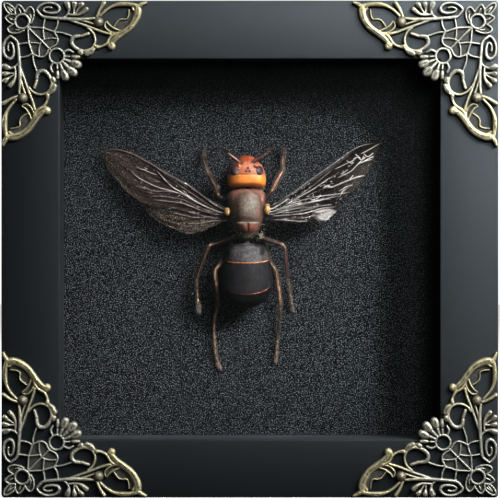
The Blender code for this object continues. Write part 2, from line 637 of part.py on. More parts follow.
def wing(name, leading, trailing, root_h, tip_h, pleats, pleat_high, finish):
    """A thin pleated sheet between its two edges."""
    spans, chords = 10, 7
    dome, droop = 0.9, 1.2
    front, rear = along_edge(leading, spans), along_edge(trailing, spans)
    bm = bmesh.new()
    faces = []
    for side in (0.5, -0.5):
        rows = []
        for i, along in enumerate(np.linspace(0, 1, spans)):
            bow = dome * math.sin(math.pi * along)
            pleat_fade = math.sin(math.pi * (0.12 + 0.8 * along))
            row = []
            for across in np.linspace(0, 1, chords):
                x, z = front[i] * (1 - across) + rear[i] * across
                fold = pleat_high * math.sin(2 * math.pi * pleats * across) * pleat_fade
                middle = root_h + (tip_h - root_h) * along + bow - droop * along * across
                row.append(bm.verts.new(place(x, z, middle + fold + side * WING_THICK)))
            rows.append(row)
        for a, b in zip(rows, rows[1:]):
            for j in range(chords - 1):
                bm.faces.new((a[j], a[j + 1], b[j + 1], b[j]))
        trailing_side = [row[-1] for row in rows[1:-1]]
        leading_side = [row[0] for row in rows[-2:0:-1]]
        faces.append(rows[0] + trailing_side + rows[-1][::-1] + leading_side)
    bridge(bm, faces)
    return node(name, mesh_of(name, bm, smooth=True), finish)


def clearance(obj):
    """A cutter: the same body, one gap larger all round."""
    grown = obj.copy()
    grown.name = f"{obj.name}_clearance"
    bpy.context.scene.collection.objects.link(grown)
    swell = grown.modifiers.new("Clearance", "DISPLACE")
    swell.strength = GAP
    swell.mid_level = 0
    return helper(grown)


def build_hornet(orange_shell, brown_shell, black_shell, leg_shell, wing_film):
    head = body_of_rings("head", HEAD_RINGS, HEAD_X, orange_shell)
    thorax = body_of_rings("thorax", THORAX_RINGS, THORAX_X, brown_shell)
    abdomen = body_of_rings("abdomen", ABDOMEN_RINGS, ABDOMEN_X, black_shell)
    for i, (centre, radii) in enumerate(EYES):
        boolean(head, oval(f"eye_{i}", centre, radii, black_shell), "UNION")
    for i, (centre, radii) in enumerate(TEGULAE):
        boolean(thorax, oval(f"tegula_{i}", centre, radii, orange_shell), "UNION")
    around_head, around_thorax, around_abdomen = (clearance(body) for body in (head, thorax, abdomen))
    for name, stations in ANTENNAE.items():
        boolean(limb(name, stations, leg_shell), around_head, "DIFFERENCE")
    for name, stations in LEGS.items():
        leg = limb(name, stations, leg_shell)
        boolean(leg, around_thorax, "DIFFERENCE")
        if name.startswith("hindleg"):
            boolean(leg, around_abdomen, "DIFFERENCE")
    for name, shape in WINGS.items():
        boolean(wing(name, *shape, wing_film), around_thorax, "DIFFERENCE")


def main():
    clear_scene()
    black_paint = material("satin black paint", (0.028, 0.03, 0.032), 0.42)
    bronze = material("antique bronze", (0.33, 0.3, 0.22), 0.42, metallic=1.0)
    build_frame(black_paint)
    build_box(
        material("clear glass", (1, 1, 1), 0.02, alpha=0.12),
        material("black lining card", (0.03, 0.032, 0.034), 0.6),
        material("black grained paper", (0.02, 0.022, 0.026), 0.7),
        material("brown fibreboard", (0.25, 0.16, 0.09), 0.85),
    )
    build_fixings(material("zinc plated steel", (0.6, 0.6, 0.58), 0.35, metallic=1.0))
    build_ornaments(bronze)
    build_hornet(
        material("orange shell", (0.55, 0.13, 0.03), 0.35),
        material("brown shell", (0.12, 0.06, 0.045), 0.5),
        material("black shell", (0.03, 0.028, 0.028), 0.4),
        material("leg shell", (0.16, 0.07, 0.035), 0.45),
        material("wing film", (0.11, 0.07, 0.05), 0.4),
    )


main()
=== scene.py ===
import math

import bmesh
import bpy
import numpy as np
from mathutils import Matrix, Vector


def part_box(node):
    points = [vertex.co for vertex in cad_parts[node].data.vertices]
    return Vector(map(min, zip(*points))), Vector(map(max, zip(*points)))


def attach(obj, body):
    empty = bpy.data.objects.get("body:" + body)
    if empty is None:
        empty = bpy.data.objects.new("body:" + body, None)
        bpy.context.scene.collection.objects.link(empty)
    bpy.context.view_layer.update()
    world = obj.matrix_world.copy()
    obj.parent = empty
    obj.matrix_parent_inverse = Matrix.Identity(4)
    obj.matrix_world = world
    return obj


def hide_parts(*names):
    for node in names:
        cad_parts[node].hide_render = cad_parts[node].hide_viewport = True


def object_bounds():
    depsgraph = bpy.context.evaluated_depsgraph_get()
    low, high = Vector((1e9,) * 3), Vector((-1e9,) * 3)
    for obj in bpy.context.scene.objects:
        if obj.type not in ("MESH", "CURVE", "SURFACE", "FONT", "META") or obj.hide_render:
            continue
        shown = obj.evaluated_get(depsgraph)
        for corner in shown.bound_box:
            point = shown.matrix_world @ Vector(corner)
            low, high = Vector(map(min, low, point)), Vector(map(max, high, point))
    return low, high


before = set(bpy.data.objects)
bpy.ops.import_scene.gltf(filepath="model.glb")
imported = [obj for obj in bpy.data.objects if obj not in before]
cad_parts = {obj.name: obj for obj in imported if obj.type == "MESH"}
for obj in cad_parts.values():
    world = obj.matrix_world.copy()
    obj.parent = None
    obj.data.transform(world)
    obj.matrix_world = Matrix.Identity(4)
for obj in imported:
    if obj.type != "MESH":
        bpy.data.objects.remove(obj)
cad_low, cad_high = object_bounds()

# A hornet mounted in a black shadow box with four cast bronze corner ornaments.
# Lengths of the box are in millimetres. The hornet is drawn in its own units, a little over
# a millimetre each: x and z from the middle of the frame, h above the backing paper.

MM = 0.001
BODY_LENGTH_MM, BODY_UNITS = 47.9, 46.9
SPECIMEN_UNIT = BODY_LENGTH_MM / BODY_UNITS * MM

RAIL_LOW, RAIL_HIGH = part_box("rail_bottom")
FRONT, BACK = RAIL_LOW.y, RAIL_HIGH.y
RAIL_FACE = RAIL_HIGH.z
SIDE = cad_high.z - cad_low.z
HALF = SIDE / 2
LIP_DEPTH = 3 * MM
RABBET_EDGE = 12.8 * MM
CORNER_EASE = 1.0 * MM
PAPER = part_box("backing_card")[0].y


# Material recipes


class Wire:
    """A socket in a recipe. Sums and products of wires and numbers add Math nodes."""

    def __init__(self, recipe, socket):
        self.recipe = recipe
        self.socket = socket

    def math(self, operation, first, second):
        return self.recipe.node("ShaderNodeMath", {"operation": operation}, {0: first, 1: second})

    def __add__(self, other):
        return self.math("ADD", self, other)

    def __radd__(self, other):
        return self.math("ADD", other, self)

    def __sub__(self, other):
        return self.math("SUBTRACT", self, other)

    def __rsub__(self, other):
        return self.math("SUBTRACT", other, self)

    def __mul__(self, other):
        return self.math("MULTIPLY", self, other)

    def __rmul__(self, other):
        return self.math("MULTIPLY", other, self)

    def __truediv__(self, other):
        return self.math("DIVIDE", self, other)

    def __rtruediv__(self, other):
        return self.math("DIVIDE", other, self)

    def __pow__(self, other):
        return self.math("POWER", self, other)

    def between(self, low, high):
        """0 below low, 1 above high, smooth in between."""
        return self.recipe.node(
            "ShaderNodeMapRange",
            {"interpolation_type": "SMOOTHSTEP"},
            {"Value": self, "From Min": low, "From Max": high, "To Min": 0.0, "To Max": 1.0},
        )


class Recipe:
    """The nodes of one material, or of a world."""

    def __init__(self, name, library=None, shader="Principled BSDF"):
        self.owner = (bpy.data.materials if library is None else library).new(name)
        self.owner.use_nodes = True
        self.tree = self.owner.node_tree
        self.shader = self.tree.nodes[shader]

    def node(self, kind, settings, values, out=0):
        """A node of this kind: its settings are set first, then the values or wires of its sockets."""
        made = self.tree.nodes.new(kind)
        for key, value in settings.items():
            setattr(made, key, value)
        for key, value in values.items():
            self.feed(made.inputs[key], value)
        return Wire(self, made.outputs[out])

    def feed(self, socket, value):
        if isinstance(value, Wire):
            self.tree.links.new(value.socket, socket)
        elif socket.type == "RGBA":
            socket.default_value = (*value, 1)
        else:
            socket.default_value = value

    def place(self, stretch=(1, 1, 1), turn=0.0):
        """The point on the piece in millimetres, squeezed along its own axes."""
        point = self.node("ShaderNodeTexCoord", {}, {}, "Object")
        return self.node(
            "ShaderNodeMapping",
            {"vector_type": "POINT"},
            {"Vector": point, "Rotation": (0, turn, 0), "Scale": tuple(s / MM for s in stretch)},
        )

    def noise(self, scale, detail=3.0, rough=0.55, at=None, warp=0.0):
        values = {"Scale": scale, "Detail": detail, "Roughness": rough, "Distortion": warp}
        return self.node("ShaderNodeTexNoise", {}, {"Vector": at or self.place(), **values})

    def cells(self, scale, feature="F1"):
        return self.node("ShaderNodeTexVoronoi", {"feature": feature}, {"Vector": self.place(), "Scale": scale})

    def mark(self, name):
        """A value that the piece's corners carry."""
        return self.node("ShaderNodeAttribute", {"attribute_name": name}, {}, "Fac")

    def mix(self, share, a, b):
        """Colour a where share is 0, colour b where it is 1."""
        return self.node("ShaderNodeMix", {"data_type": "RGBA"}, {0: share, 6: a, 7: b}, 2)

    def bump(self, height, depth_mm, strength):
        values = {"Height": height, "Distance": depth_mm * MM, "Strength": strength}
        return self.node("ShaderNodeBump", {}, values)

    def finish(self, **sockets):
        for name, value in sockets.items():
            self.feed(self.shader.inputs[name.replace("_", " ")], value)
        return self.owner


def black_lacquer():
    """Satin paint, rougher on the sides, on faces that fall slightly towards their outer edge."""
    r = Recipe("black lacquer")
    inward = r.mark("inward")
    side = r.mark("side")
    r.shader.inputs["Specular IOR Level"].default_value = 0.5
    r.shader.inputs["IOR"].default_value = 1.65
    r.shader.inputs["Specular Tint"].default_value = (0.86, 0.95, 1.0, 1)
    cloud = r.noise(0.05, 2)
    dust = r.noise(3.0, 2).between(0.55, 0.8)
    peel = r.noise(1.1, 3)
    return r.finish(
        Base_Color=r.mix(cloud, (0.0008, 0.0011, 0.0016), (0.002, 0.0026, 0.0034)),
        Roughness=0.41 + 0.3 * side + 0.08 * peel + 0.06 * dust,
        Normal=r.bump(peel + 0.5 * r.noise(6, 1) + 6.5 * inward, 0.02, 0.5),
    )


def antique_bronze():
    """Dark in its hollows and rubbed bright on its ridges, more golden towards its tips."""
    r = Recipe("antique bronze")
    ridge = r.mark("ridge")
    gilt = r.mark("gilt")
    mottle = r.noise(1.6, 4, 0.65)
    pits = r.noise(5.5, 3, 0.6)
    stud = r.mark("stud")
    rubbed = (ridge + 0.5 * (mottle - 0.5) + 0.2 * (pits - 0.5)).between(0.3, 0.9)
    bright = r.mix(gilt, (0.44, 0.42, 0.352), (0.525, 0.45, 0.25))
    bright = r.mix(stud, bright, (0.33, 0.285, 0.19))
    tarnish = r.mix(mottle, (0.016, 0.0155, 0.0155), (0.07, 0.066, 0.058))
    return r.finish(
        Base_Color=r.mix(rubbed, tarnish, bright),
        Metallic=0.35 + 0.4 * rubbed,
        Roughness=0.58 - 0.16 * rubbed + 0.12 * (pits - 0.5),
        Normal=r.bump(pits + 0.6 * mottle, 0.1, 0.9),
    )


def pane_glass():
    r = Recipe("clear glass")
    r.shader.inputs["Alpha"].default_value = 0.05
    smudge = r.noise(0.06, 2)
    return r.finish(
        Base_Color=r.mix(smudge, (0.010, 0.014, 0.012), (0.03, 0.034, 0.032)),
        Roughness=0.03 + 0.05 * smudge,
    )


def lining_card(name, dark, light):
    r = Recipe(name)
    fibre = r.noise(2.2, 4, 0.7, at=r.place((1, 0.25, 1)))
    return r.finish(
        Base_Color=r.mix(fibre, dark, light),
        Roughness=0.5 + 0.2 * fibre,
        Normal=r.bump(fibre, 0.03, 0.7),
    )


def grained_paper():
    """Black paper with a sandy grain, its glints painted into its colour as pale flecks."""
    r = Recipe("black grained paper")
    r.shader.inputs["Specular IOR Level"].default_value = 0.03
    grain = r.noise(2.9, 1, 0.5)
    drift = r.noise(0.5, 2)
    # painted highlights: pale flecks in the colour stand for the grain's glints
    painted_glint = (grain + 0.1 * (drift - 0.5)).between(0.515, 0.72)
    return r.finish(
        Base_Color=r.mix(painted_glint, (0.0012, 0.0014, 0.0019), (0.186, 0.186, 0.206)),
        Roughness=0.62 - 0.2 * painted_glint,
        Normal=r.bump(grain, 0.2, 0.8),
    )


def fibreboard():
    r = Recipe("brown fibreboard")
    strands = r.noise(0.9, 5, 0.75, at=r.place((1, 1, 0.5), 0.6))
    flecks = r.noise(3.2, 3, 0.7)
    return r.finish(
        Base_Color=r.mix(strands, (0.12, 0.07, 0.035), (0.34, 0.22, 0.125)),
        Roughness=0.75 + 0.15 * flecks,
        Normal=r.bump(strands + flecks, 0.07, 0.8),
    )


def zinc_plate():
    r = Recipe("zinc plated steel")
    spangle = r.cells(0.8)
    scratch = r.noise(2.0, 4, 0.7, at=r.place((6, 1, 0.6)))
    return r.finish(
        Base_Color=r.mix(spangle, (0.42, 0.42, 0.40), (0.66, 0.66, 0.62)),
        Metallic=0.9 + 0.1 * spangle,
        Roughness=0.28 + 0.22 * scratch,
        Normal=r.bump(scratch, 0.01, 0.5),
    )


def head_shell():
    """Orange shell: a bright band behind, salmon between the eyes, redder towards the jaws, darkened with
    painted shade in its hollows and on its lower left.
    """
    r = Recipe("orange head shell")
    band = r.mark("band")
    front = r.mark("front")
    socket = r.mark("socket")
    mottle = r.noise(0.9, 4, 0.6)
    flecks = r.noise(2.2, 3, 0.6)
    pores = r.cells(3.0)
    skin = r.mix(band, (0.49, 0.145, 0.066), (0.84, 0.245, 0.030))
    # front: redder towards the jaws, with painted shade as a darker red on the lower left
    skin = r.mix(front, skin, (0.34, 0.05, 0.013))
    skin = r.mix(0.55 * mottle.between(0.5, 0.75), skin, (0.44, 0.085, 0.022))
    skin = r.mix(0.35 * flecks.between(0.52, 0.7) * (1 - 0.6 * band), skin, (0.80, 0.36, 0.19))
    skin = r.mix(0.4 * flecks.between(0.52, 0.3) * (1 - 0.5 * band), skin, (0.34, 0.075, 0.025))
    return r.finish(
        # socket: painted shade in the head's hollows
        Base_Color=r.mix(socket, skin, (0.05, 0.018, 0.012)),
        Roughness=0.34 + 0.2 * mottle,
        Coat_Weight=0.2 + 0.2 * band,
        Normal=r.bump(0.5 * pores + mottle, 0.12, 0.9),
    )


def eye_lens():
    """Brown lens, with a painted highlight in grey where its mark says."""
    r = Recipe("eye lens")
    r.shader.inputs["Specular IOR Level"].default_value = 0.22
    grey = r.mark("grey")
    cloud = r.noise(0.5, 3)
    facets = r.cells(9.0, "DISTANCE_TO_EDGE")
    brown = r.mix(cloud.between(0.3, 0.7), (0.016, 0.006, 0.006), (0.10, 0.03, 0.026))
    return r.finish(
        Base_Color=r.mix(grey, brown, (0.42, 0.39, 0.40)),
        Roughness=0.3 + 0.1 * cloud,
        Normal=r.bump(facets, 0.01, 0.4),
    )


def thorax_shell():
    """Brown shell that turns reddish on its shoulders and its shield, pale on its back, with painted highlights
    right of the back's middle and along the shield's upper edge.
    """
    r = Recipe("brown thorax shell")
    red = r.mark("red")
    bloom = r.mark("bloom")
    mottle = r.noise(0.8, 4, 0.6)
    grain = r.noise(2.3, 4, 0.7, at=r.place((1.3, 1, 0.7)))
    shell = r.mix(mottle.between(0.3, 0.7), (0.016, 0.009, 0.008), (0.075, 0.042, 0.034))
    shell = r.mix(red * (0.45 + 0.6 * grain.between(0.35, 0.6)), shell, (0.44, 0.135, 0.08))
    # pale hairs on the back, together with painted highlights on the back and on the shield's upper edge
    bloom_and_sheen_colour = r.mix(mottle.between(0.4, 0.6), (0.108, 0.077, 0.06), (0.20, 0.168, 0.125))
    shell = r.mix(bloom * (0.7 + 0.6 * grain.between(0.35, 0.65)), shell, bloom_and_sheen_colour)
    return r.finish(
        Base_Color=shell,
        Roughness=0.32 + 0.25 * grain,
        Normal=r.bump(grain + 0.7 * r.cells(4.5), 0.1, 0.9),
    )


def wing_cap_shell():
    r = Recipe("cream wing cap")
    mottle = r.noise(1.4, 3, 0.6)
    return r.finish(
        Base_Color=r.mix(mottle.between(0.35, 0.7), (0.30, 0.12, 0.035), (0.62, 0.38, 0.15)),
        Roughness=0.3 + 0.15 * mottle,
        Normal=r.bump(mottle, 0.04, 0.6),
    )


def abdomen_shell():
    """Nearly black shell, dusted grey in front, with a thin rim of orange where two rings meet; its pale mark
    also carries painted highlight and painted shade.
    """
    r = Recipe("dark abdomen shell")
    r.shader.inputs["Specular IOR Level"].default_value = 0.1
    rim = r.mark("rim")
    pale = r.mark("pale")
    tail = r.mark("tail")
    mottle = r.noise(0.45, 4, 0.6)
    streak = r.noise(1.1, 3, 0.6, at=r.place((0.6, 1, 1)))
    grain = r.noise(1.7, 4, 0.7)
    shell = r.mix(mottle, (0.0035, 0.003, 0.0038), (0.013, 0.011, 0.0132))
    dusting = (0.25 + 0.75 * grain.between(0.36, 0.62)) * (0.55 + 0.6 * mottle.between(0.35, 0.65))
    # pale: grey dusting, with a painted highlight and painted shade spots
    shell = r.mix(pale * dusting, shell, (0.152, 0.139, 0.135))
    shell = r.mix(tail, shell, (0.0018, 0.0015, 0.0015))
    shell = r.mix((0.75 * rim).between(0.2, 0.5), shell, (0.22, 0.045, 0.04))
    amber = r.mix(streak.between(0.5, 0.64), (0.70, 0.20, 0.06), (0.80, 0.52, 0.28))
    shell = r.mix((rim + 0.8 * (streak - 0.55)).between(0.5, 0.75), shell, amber)
    return r.finish(
        Base_Color=shell,
        Roughness=0.4 + 0.25 * grain + 0.3 * tail,
        Normal=r.bump(grain + 0.6 * mottle, 0.16, 0.9),
    )


def limb_shell():
    """Dark brown shell, amber or rose where its marks say, with a painted highlight on its crown and painted
    shade on its flanks.
    """
    r = Recipe("amber and brown limb shell")
    r.shader.inputs["Specular IOR Level"].default_value = 0.2
    amber = r.mark("amber")
    rose = r.mark("rose")
    crown = r.mark("crown")
    mottle = r.noise(1.3, 4, 0.7, at=r.place((2.0, 1, 0.5)))
    grain = r.noise(5.0, 2, 0.6)
    dark = r.mix(grain, (0.006, 0.0025, 0.0025), (0.042, 0.015, 0.013))
    light = r.mix(mottle.between(0.4, 0.6), (0.24, 0.075, 0.03), (0.66, 0.36, 0.16))
    share = (amber + 1.1 * (mottle - 0.5)).between(0.25, 0.75)
    shell = r.mix(share, dark, light)
    # rose: a rosy tint, laid mostly on the crown as part of the painted highlight
    shell = r.mix(rose * (0.1 + 0.9 * crown), shell, (0.42, 0.17, 0.14))
    # painted highlight on the crown, strongest where the limb is amber
    painted_glint = (0.06 + 0.6 * mottle.between(0.42, 0.62)) * (0.06 + 0.94 * amber)
    shell = r.mix(crown * painted_glint, shell, (0.72, 0.55, 0.45))
    # painted shade on the flanks and underside
    shell = r.mix(0.9 * (1 - crown).between(0.15, 0.7), shell, (0.014, 0.006, 0.005))
    return r.finish(
        Base_Color=shell,
        Roughness=0.28 + 0.25 * grain,
        Normal=r.bump(grain + mottle, 0.12, 0.9),
    )


def wing_film(turn, haze_and_sheen):
    """Smoky film with its grain along the turned wing, thinner and more olive towards the tip, with painted
    highlights along its creases and the paper's glints painted in as specks.
    """
    r = Recipe("smoky wing film")
    r.shader.inputs["Specular IOR Level"].default_value = 0.05
    crease = r.mark("crease")
    tip = r.mark("tip")
    cloud = r.noise(0.35, 3)
    wrinkle = r.noise(1.3, 4, 0.65, at=r.place((0.3, 1, 2.0), turn), warp=0.5)
    cockle = r.noise(2.0, 3, 0.65, at=r.place((0.8, 1, 1.3), turn), warp=0.4)
    paper_glint_speck = r.noise(2.9, 1, 0.5).between(0.49, 0.74)
    film = r.mix(cloud.between(0.35, 0.65), (0.0035, 0.0015, 0.0014), (0.011, 0.0055, 0.0048))
    # olive: the tip's film, with the paper's glints painted in as if seen through it
    olive = r.mix(paper_glint_speck, (0.062, 0.046, 0.031), (0.44, 0.35, 0.255))
    # haze_and_sheen lightens and reddens the film: a painted highlight on the wings that caught the light more
    film = r.mix(haze_and_sheen, film, (0.066, 0.037, 0.036))
    film = r.mix(tip * (0.5 + haze_and_sheen) * (0.4 + 0.6 * cockle.between(0.35, 0.6)), film, olive)
    film = r.mix((0.05 + 0.35 * haze_and_sheen) * paper_glint_speck, film, (0.20, 0.15, 0.13))
    # pale: painted highlights on the creases and the fine relief
    pale = (crease + 0.3 * (wrinkle - 0.5)).between(0.18, 0.95)
    # shine: the colour of the painted highlights
    shine = r.mix(haze_and_sheen, (0.84, 0.75, 0.72), (0.78, 0.55, 0.48))
    return r.finish(
        Base_Color=r.mix(pale * (0.66 + 0.55 * paper_glint_speck), film, shine),
        Roughness=0.26 + 0.2 * cockle,
        Alpha=0.97 - 0.35 * tip * (1 - pale) * (0.5 + 0.6 * cloud),
        Normal=r.bump(wrinkle + 0.7 * cockle, 0.16, 1.0),
    )


def hair(name, dark, light):
    r = Recipe(name)
    shade = r.noise(1.2, 2)
    return r.finish(Base_Color=r.mix(shade, dark, light), Roughness=0.45 + 0.2 * shade)


def pale_floor():
    """A pale sheet that is lit evenly from below as well."""
    r = Recipe("pale floor")
    cloud = r.noise(0.01, 2)
    pale = r.mix(cloud, (0.78, 0.78, 0.77), (0.82, 0.82, 0.81))
    r.shader.inputs["Emission Strength"].default_value = 0.75
    return r.finish(
        Base_Color=pale,
        Emission_Color=pale,
        Roughness=0.7 + 0.1 * cloud,
    )


# Building blocks


class Stock:
    """Corners, faces and marks gathered for one piece."""

    def __init__(self):
        self.points = []
        self.faces = []
        self.marks = {}
        self.count = 0

    def add(self, points, faces, **marks):
        points = np.asarray(points, float)
        self.faces += [tuple(int(i) + self.count for i in face) for face in faces]
        for name in set(self.marks) | set(marks):
            column = self.marks.setdefault(name, [np.zeros(self.count)])
            column.append(np.broadcast_to(marks.get(name, 0.0), (len(points),)))
        self.points.append(points)
        self.count += len(points)
        return self

    def piece(self, name, finish, slot, replaces=()):
        mesh = bpy.data.meshes.new(name)
        mesh.from_pydata(np.vstack(self.points).tolist(), [], self.faces)
        for mark, columns in self.marks.items():
            values = np.concatenate(columns).astype(np.float32)
            mesh.attributes.new(mark, "FLOAT", "POINT").data.foreach_set("value", values)
        mesh.shade_smooth()
        return fit(name, mesh, finish, replaces)


def fit(name, mesh, finish, replaces=()):
    """Makes the mesh a piece of the object, which rides on its one body."""
    mesh.materials.append(finish)
    obj = bpy.data.objects.new(name, mesh)
    bpy.context.scene.collection.objects.link(obj)
    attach(obj, "root")
    if replaces:
        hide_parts(*replaces)
    return obj


def net_faces(rows, columns, closed=False):
    """Quads between the rows of a net. A closed net joins its last column to its first."""
    faces = []
    for i in range(rows - 1):
        for j in range(columns if closed else columns - 1):
            k = (j + 1) % columns
            faces.append((i * columns + j, i * columns + k, (i + 1) * columns + k, (i + 1) * columns + j))
    return faces


def capped_faces(rows, columns):
    """A closed net with a fan at both ends: the two poles come after the net's points."""
    first, last = rows * columns, rows * columns + 1
    faces = net_faces(rows, columns, closed=True)
    for j in range(columns):
        k = (j + 1) % columns
        faces.append((k, j, first))
        faces.append(((rows - 1) * columns + j, (rows - 1) * columns + k, last))
    return faces


def smooth_path(points, steps):
    """A Catmull-Rom curve through the points, with this many steps between two of them."""
    pts = np.array(points, float)
    ends = np.vstack([2 * pts[0] - pts[1], pts, 2 * pts[-1] - pts[-2]])
    t = np.arange(steps)[:, None] / steps
    rows = []
    for a, b, c, d in zip(ends, ends[1:], ends[2:], ends[3:]):
        rows.append(
            0.5 * (2 * b + (c - a) * t + (2 * a - 5 * b + 4 * c - d) * t**2 + (3 * b - a - 3 * c + d) * t**3)
        )
    return np.vstack([*rows, pts[-1:]])


def along_path(points, count):
    """Points evenly spaced by length on a smooth curve."""
    path = smooth_path(points, 12)
    lengths = np.sqrt((np.diff(path[:, :2], axis=0) ** 2).sum(1))
    reach = np.concatenate([[0], np.cumsum(lengths)])
    wanted = np.linspace(0, reach[-1], count)
    return np.column_stack([np.interp(wanted, reach, path[:, k]) for k in range(path.shape[1])])


def lattice_noise(x, y, seed):
    """Smooth noise from 0 to 1 with a lattice of unit cells, which repeats after 64 of them."""
    cells = 64
    table = np.random.default_rng(seed).random((cells, cells))
    i, j = np.floor(x).astype(int), np.floor(y).astype(int)
    u, v = x - i, y - j
    u, v = u * u * (3 - 2 * u), v * v * (3 - 2 * v)
    corner = {(a, b): table[(i + a) % cells, (j + b) % cells] for a in (0, 1) for b in (0, 1)}
    near = corner[0, 0] * (1 - u) + corner[1, 0] * u
    far = corner[0, 1] * (1 - u) + corner[1, 1] * u
    return near * (1 - v) + far * v


def step(value, low, high):
    """0 below low, 1 above high, smooth in between."""
    t = np.clip((value - low) / (high - low), 0, 1)
    return t * t * (3 - 2 * t)


def hump(value, centre, width):
    """1 at the centre, falling off to both sides."""
    return np.exp(-(((value - centre) / width) ** 2))


def place(x, z, h):
    """Points in metres for places given in the specimen's units."""
    x, z, h = np.broadcast_arrays(x, z, h)
    return np.column_stack(
        [np.ravel(x) * SPECIMEN_UNIT, PAPER - np.ravel(h) * SPECIMEN_UNIT, HALF + np.ravel(z) * SPECIMEN_UNIT]
    )


def tube(points, radii, sides=8):
    """A closed tube through points in metres, with a radius at each."""
    points, radii = np.asarray(points, float), np.asarray(radii, float)
    count = len(points)
    along = np.gradient(points, axis=0)
    along /= np.linalg.norm(along, axis=1)[:, None]
    across = np.cross(along[0], (0.1, -1, 0.2))
    angles = 2 * np.pi * np.arange(sides) / sides
    rings = []
    for i in range(count):
        across = across - along[i] * (along[i] @ across)
        across /= np.linalg.norm(across)
        lift = np.cross(across, along[i])
        ring = np.outer(np.cos(angles), across) + np.outer(np.sin(angles), lift)
        rings.append(points[i] + radii[i] * ring)
    ends = [points[0] - along[0] * radii[0] * 0.5, points[-1] + along[-1] * radii[-1] * 0.5]
    return np.vstack([*rings, ends]), capped_faces(count, sides)


def taper(stock, path, thick, thin, sides, **marks):
    """Adds a tube through places in specimen units that thins evenly from its root to its tip."""
    points, faces = tube(place(*path.T), np.linspace(thick, thin, len(path)) * SPECIMEN_UNIT, sides)
    stock.add(points, faces, **marks)


def ball(centre, radii, rows=20, columns=28):
    """An egg shape in the specimen's units: centre and radii along x, z and h."""
    polar = np.pi * (np.arange(rows) + 0.5) / rows
    round_ = 2 * np.pi * np.arange(columns) / columns
    x = centre[0] + radii[0] * np.outer(np.sin(polar), np.cos(round_))
    h = centre[2] + radii[2] * np.outer(np.sin(polar), np.sin(round_))
    z = centre[1] + radii[1] * np.outer(np.cos(polar), np.ones(columns))
    poles = place(np.full(2, centre[0]), np.array([centre[1] + radii[1], centre[1] - radii[1]]), centre[2])
    return np.vstack([place(x, z, h), poles]), capped_faces(rows, columns)


def nearest_on(x, z, path):
    """Distance from each place to a line through (x, z) points, and how far along the line that is."""
    best, share = np.full(np.shape(x), 1e9), np.zeros(np.shape(x))
    reach = np.concatenate([[0], np.cumsum(np.hypot(*np.diff(path[:, :2], axis=0).T))])
    for (x0, z0), (x1, z1), r0, r1 in zip(path[:, :2], path[1:, :2], reach, reach[1:]):
        dx, dz = x1 - x0, z1 - z0
        t = np.clip(((x - x0) * dx + (z - z0) * dz) / max(dx * dx + dz * dz, 1e-12), 0, 1)
        d = np.hypot(x - x0 - t * dx, z - z0 - t * dz)
        closer = d < best
        best = np.where(closer, d, best)
        share = np.where(closer, (r0 + (r1 - r0) * t) / reach[-1], share)
    return best, share


def hairs(roots, ways, lengths, thick, bend, seed):
    """Fine tapering hairs: three-sided, each bent once towards a way of its own."""
    rng = np.random.default_rng(seed)
    bend_at, narrowing = 0.55, 0.7
    count = len(roots)
    ways = ways / np.linalg.norm(ways, axis=1)[:, None]
    across = np.cross(ways, rng.normal(size=(count, 3)))
    across /= np.linalg.norm(across, axis=1)[:, None]
    other = np.cross(ways, across)
    lengths = np.broadcast_to(lengths, (count,))[:, None]
    middle = roots + ways * lengths * bend_at
    points = np.zeros((count, 7, 3))
    for k in range(3):
        angle = 2 * np.pi * k / 3
        ring = across * np.cos(angle) + other * np.sin(angle)
        points[:, k] = roots + ring * thick
        points[:, 3 + k] = middle + ring * thick * narrowing
    points[:, 6] = roots + ways * lengths + across * lengths * bend
    pattern = [(0, 1, 4, 3), (1, 2, 5, 4), (2, 0, 3, 5), (3, 4, 6), (4, 5, 6), (5, 3, 6)]
    faces = [tuple(7 * n + i for i in face) for n in range(count) for face in pattern]
    return points.reshape(-1, 3), faces


# The frame


EASE, LIP_EASE = 0.45 * MM, 0.28 * MM  # radii of the rail's rounded edges
RAIL_STATIONS, RAIL_SHARP_ANGLE = 18, 35


def quarter_circle(centre, radius, start, count=5):
    """Points of a rounded edge of the section, from one face to the next."""
    angles = np.radians(start + np.linspace(0, 90, count))
    return [(centre[0] + radius * math.cos(a), centre[1] + radius * math.sin(a)) for a in angles]


def rail_section():
    """The bottom rail's section as (inward, y): how far from the frame's outer edge, and how deep."""
    return [
        *quarter_circle((EASE, FRONT + EASE), EASE, 180),
        *quarter_circle((RAIL_FACE - LIP_EASE, FRONT + LIP_EASE), LIP_EASE, 270),
        (RAIL_FACE, FRONT + LIP_DEPTH), (RABBET_EDGE, FRONT + LIP_DEPTH), (RABBET_EDGE, BACK),
        *quarter_circle((EASE, BACK - EASE), EASE, 90),
    ]


def rail_point(share, bend, inward):
    """x and z at a share of the length. At the ends, bend is the angle round the frame's eased corner."""
    if inward >= CORNER_EASE:
        short = 1 if bend is None else 1 - (1 - bend / 45) * CORNER_EASE / HALF
        return share * (HALF - inward) * short, inward - HALF
    if bend is None:
        return share * (HALF - CORNER_EASE), inward - HALF
    angle, reach = math.radians(bend), CORNER_EASE - inward
    return share * (HALF - CORNER_EASE + reach * math.sin(angle)), CORNER_EASE - HALF - reach * math.cos(angle)


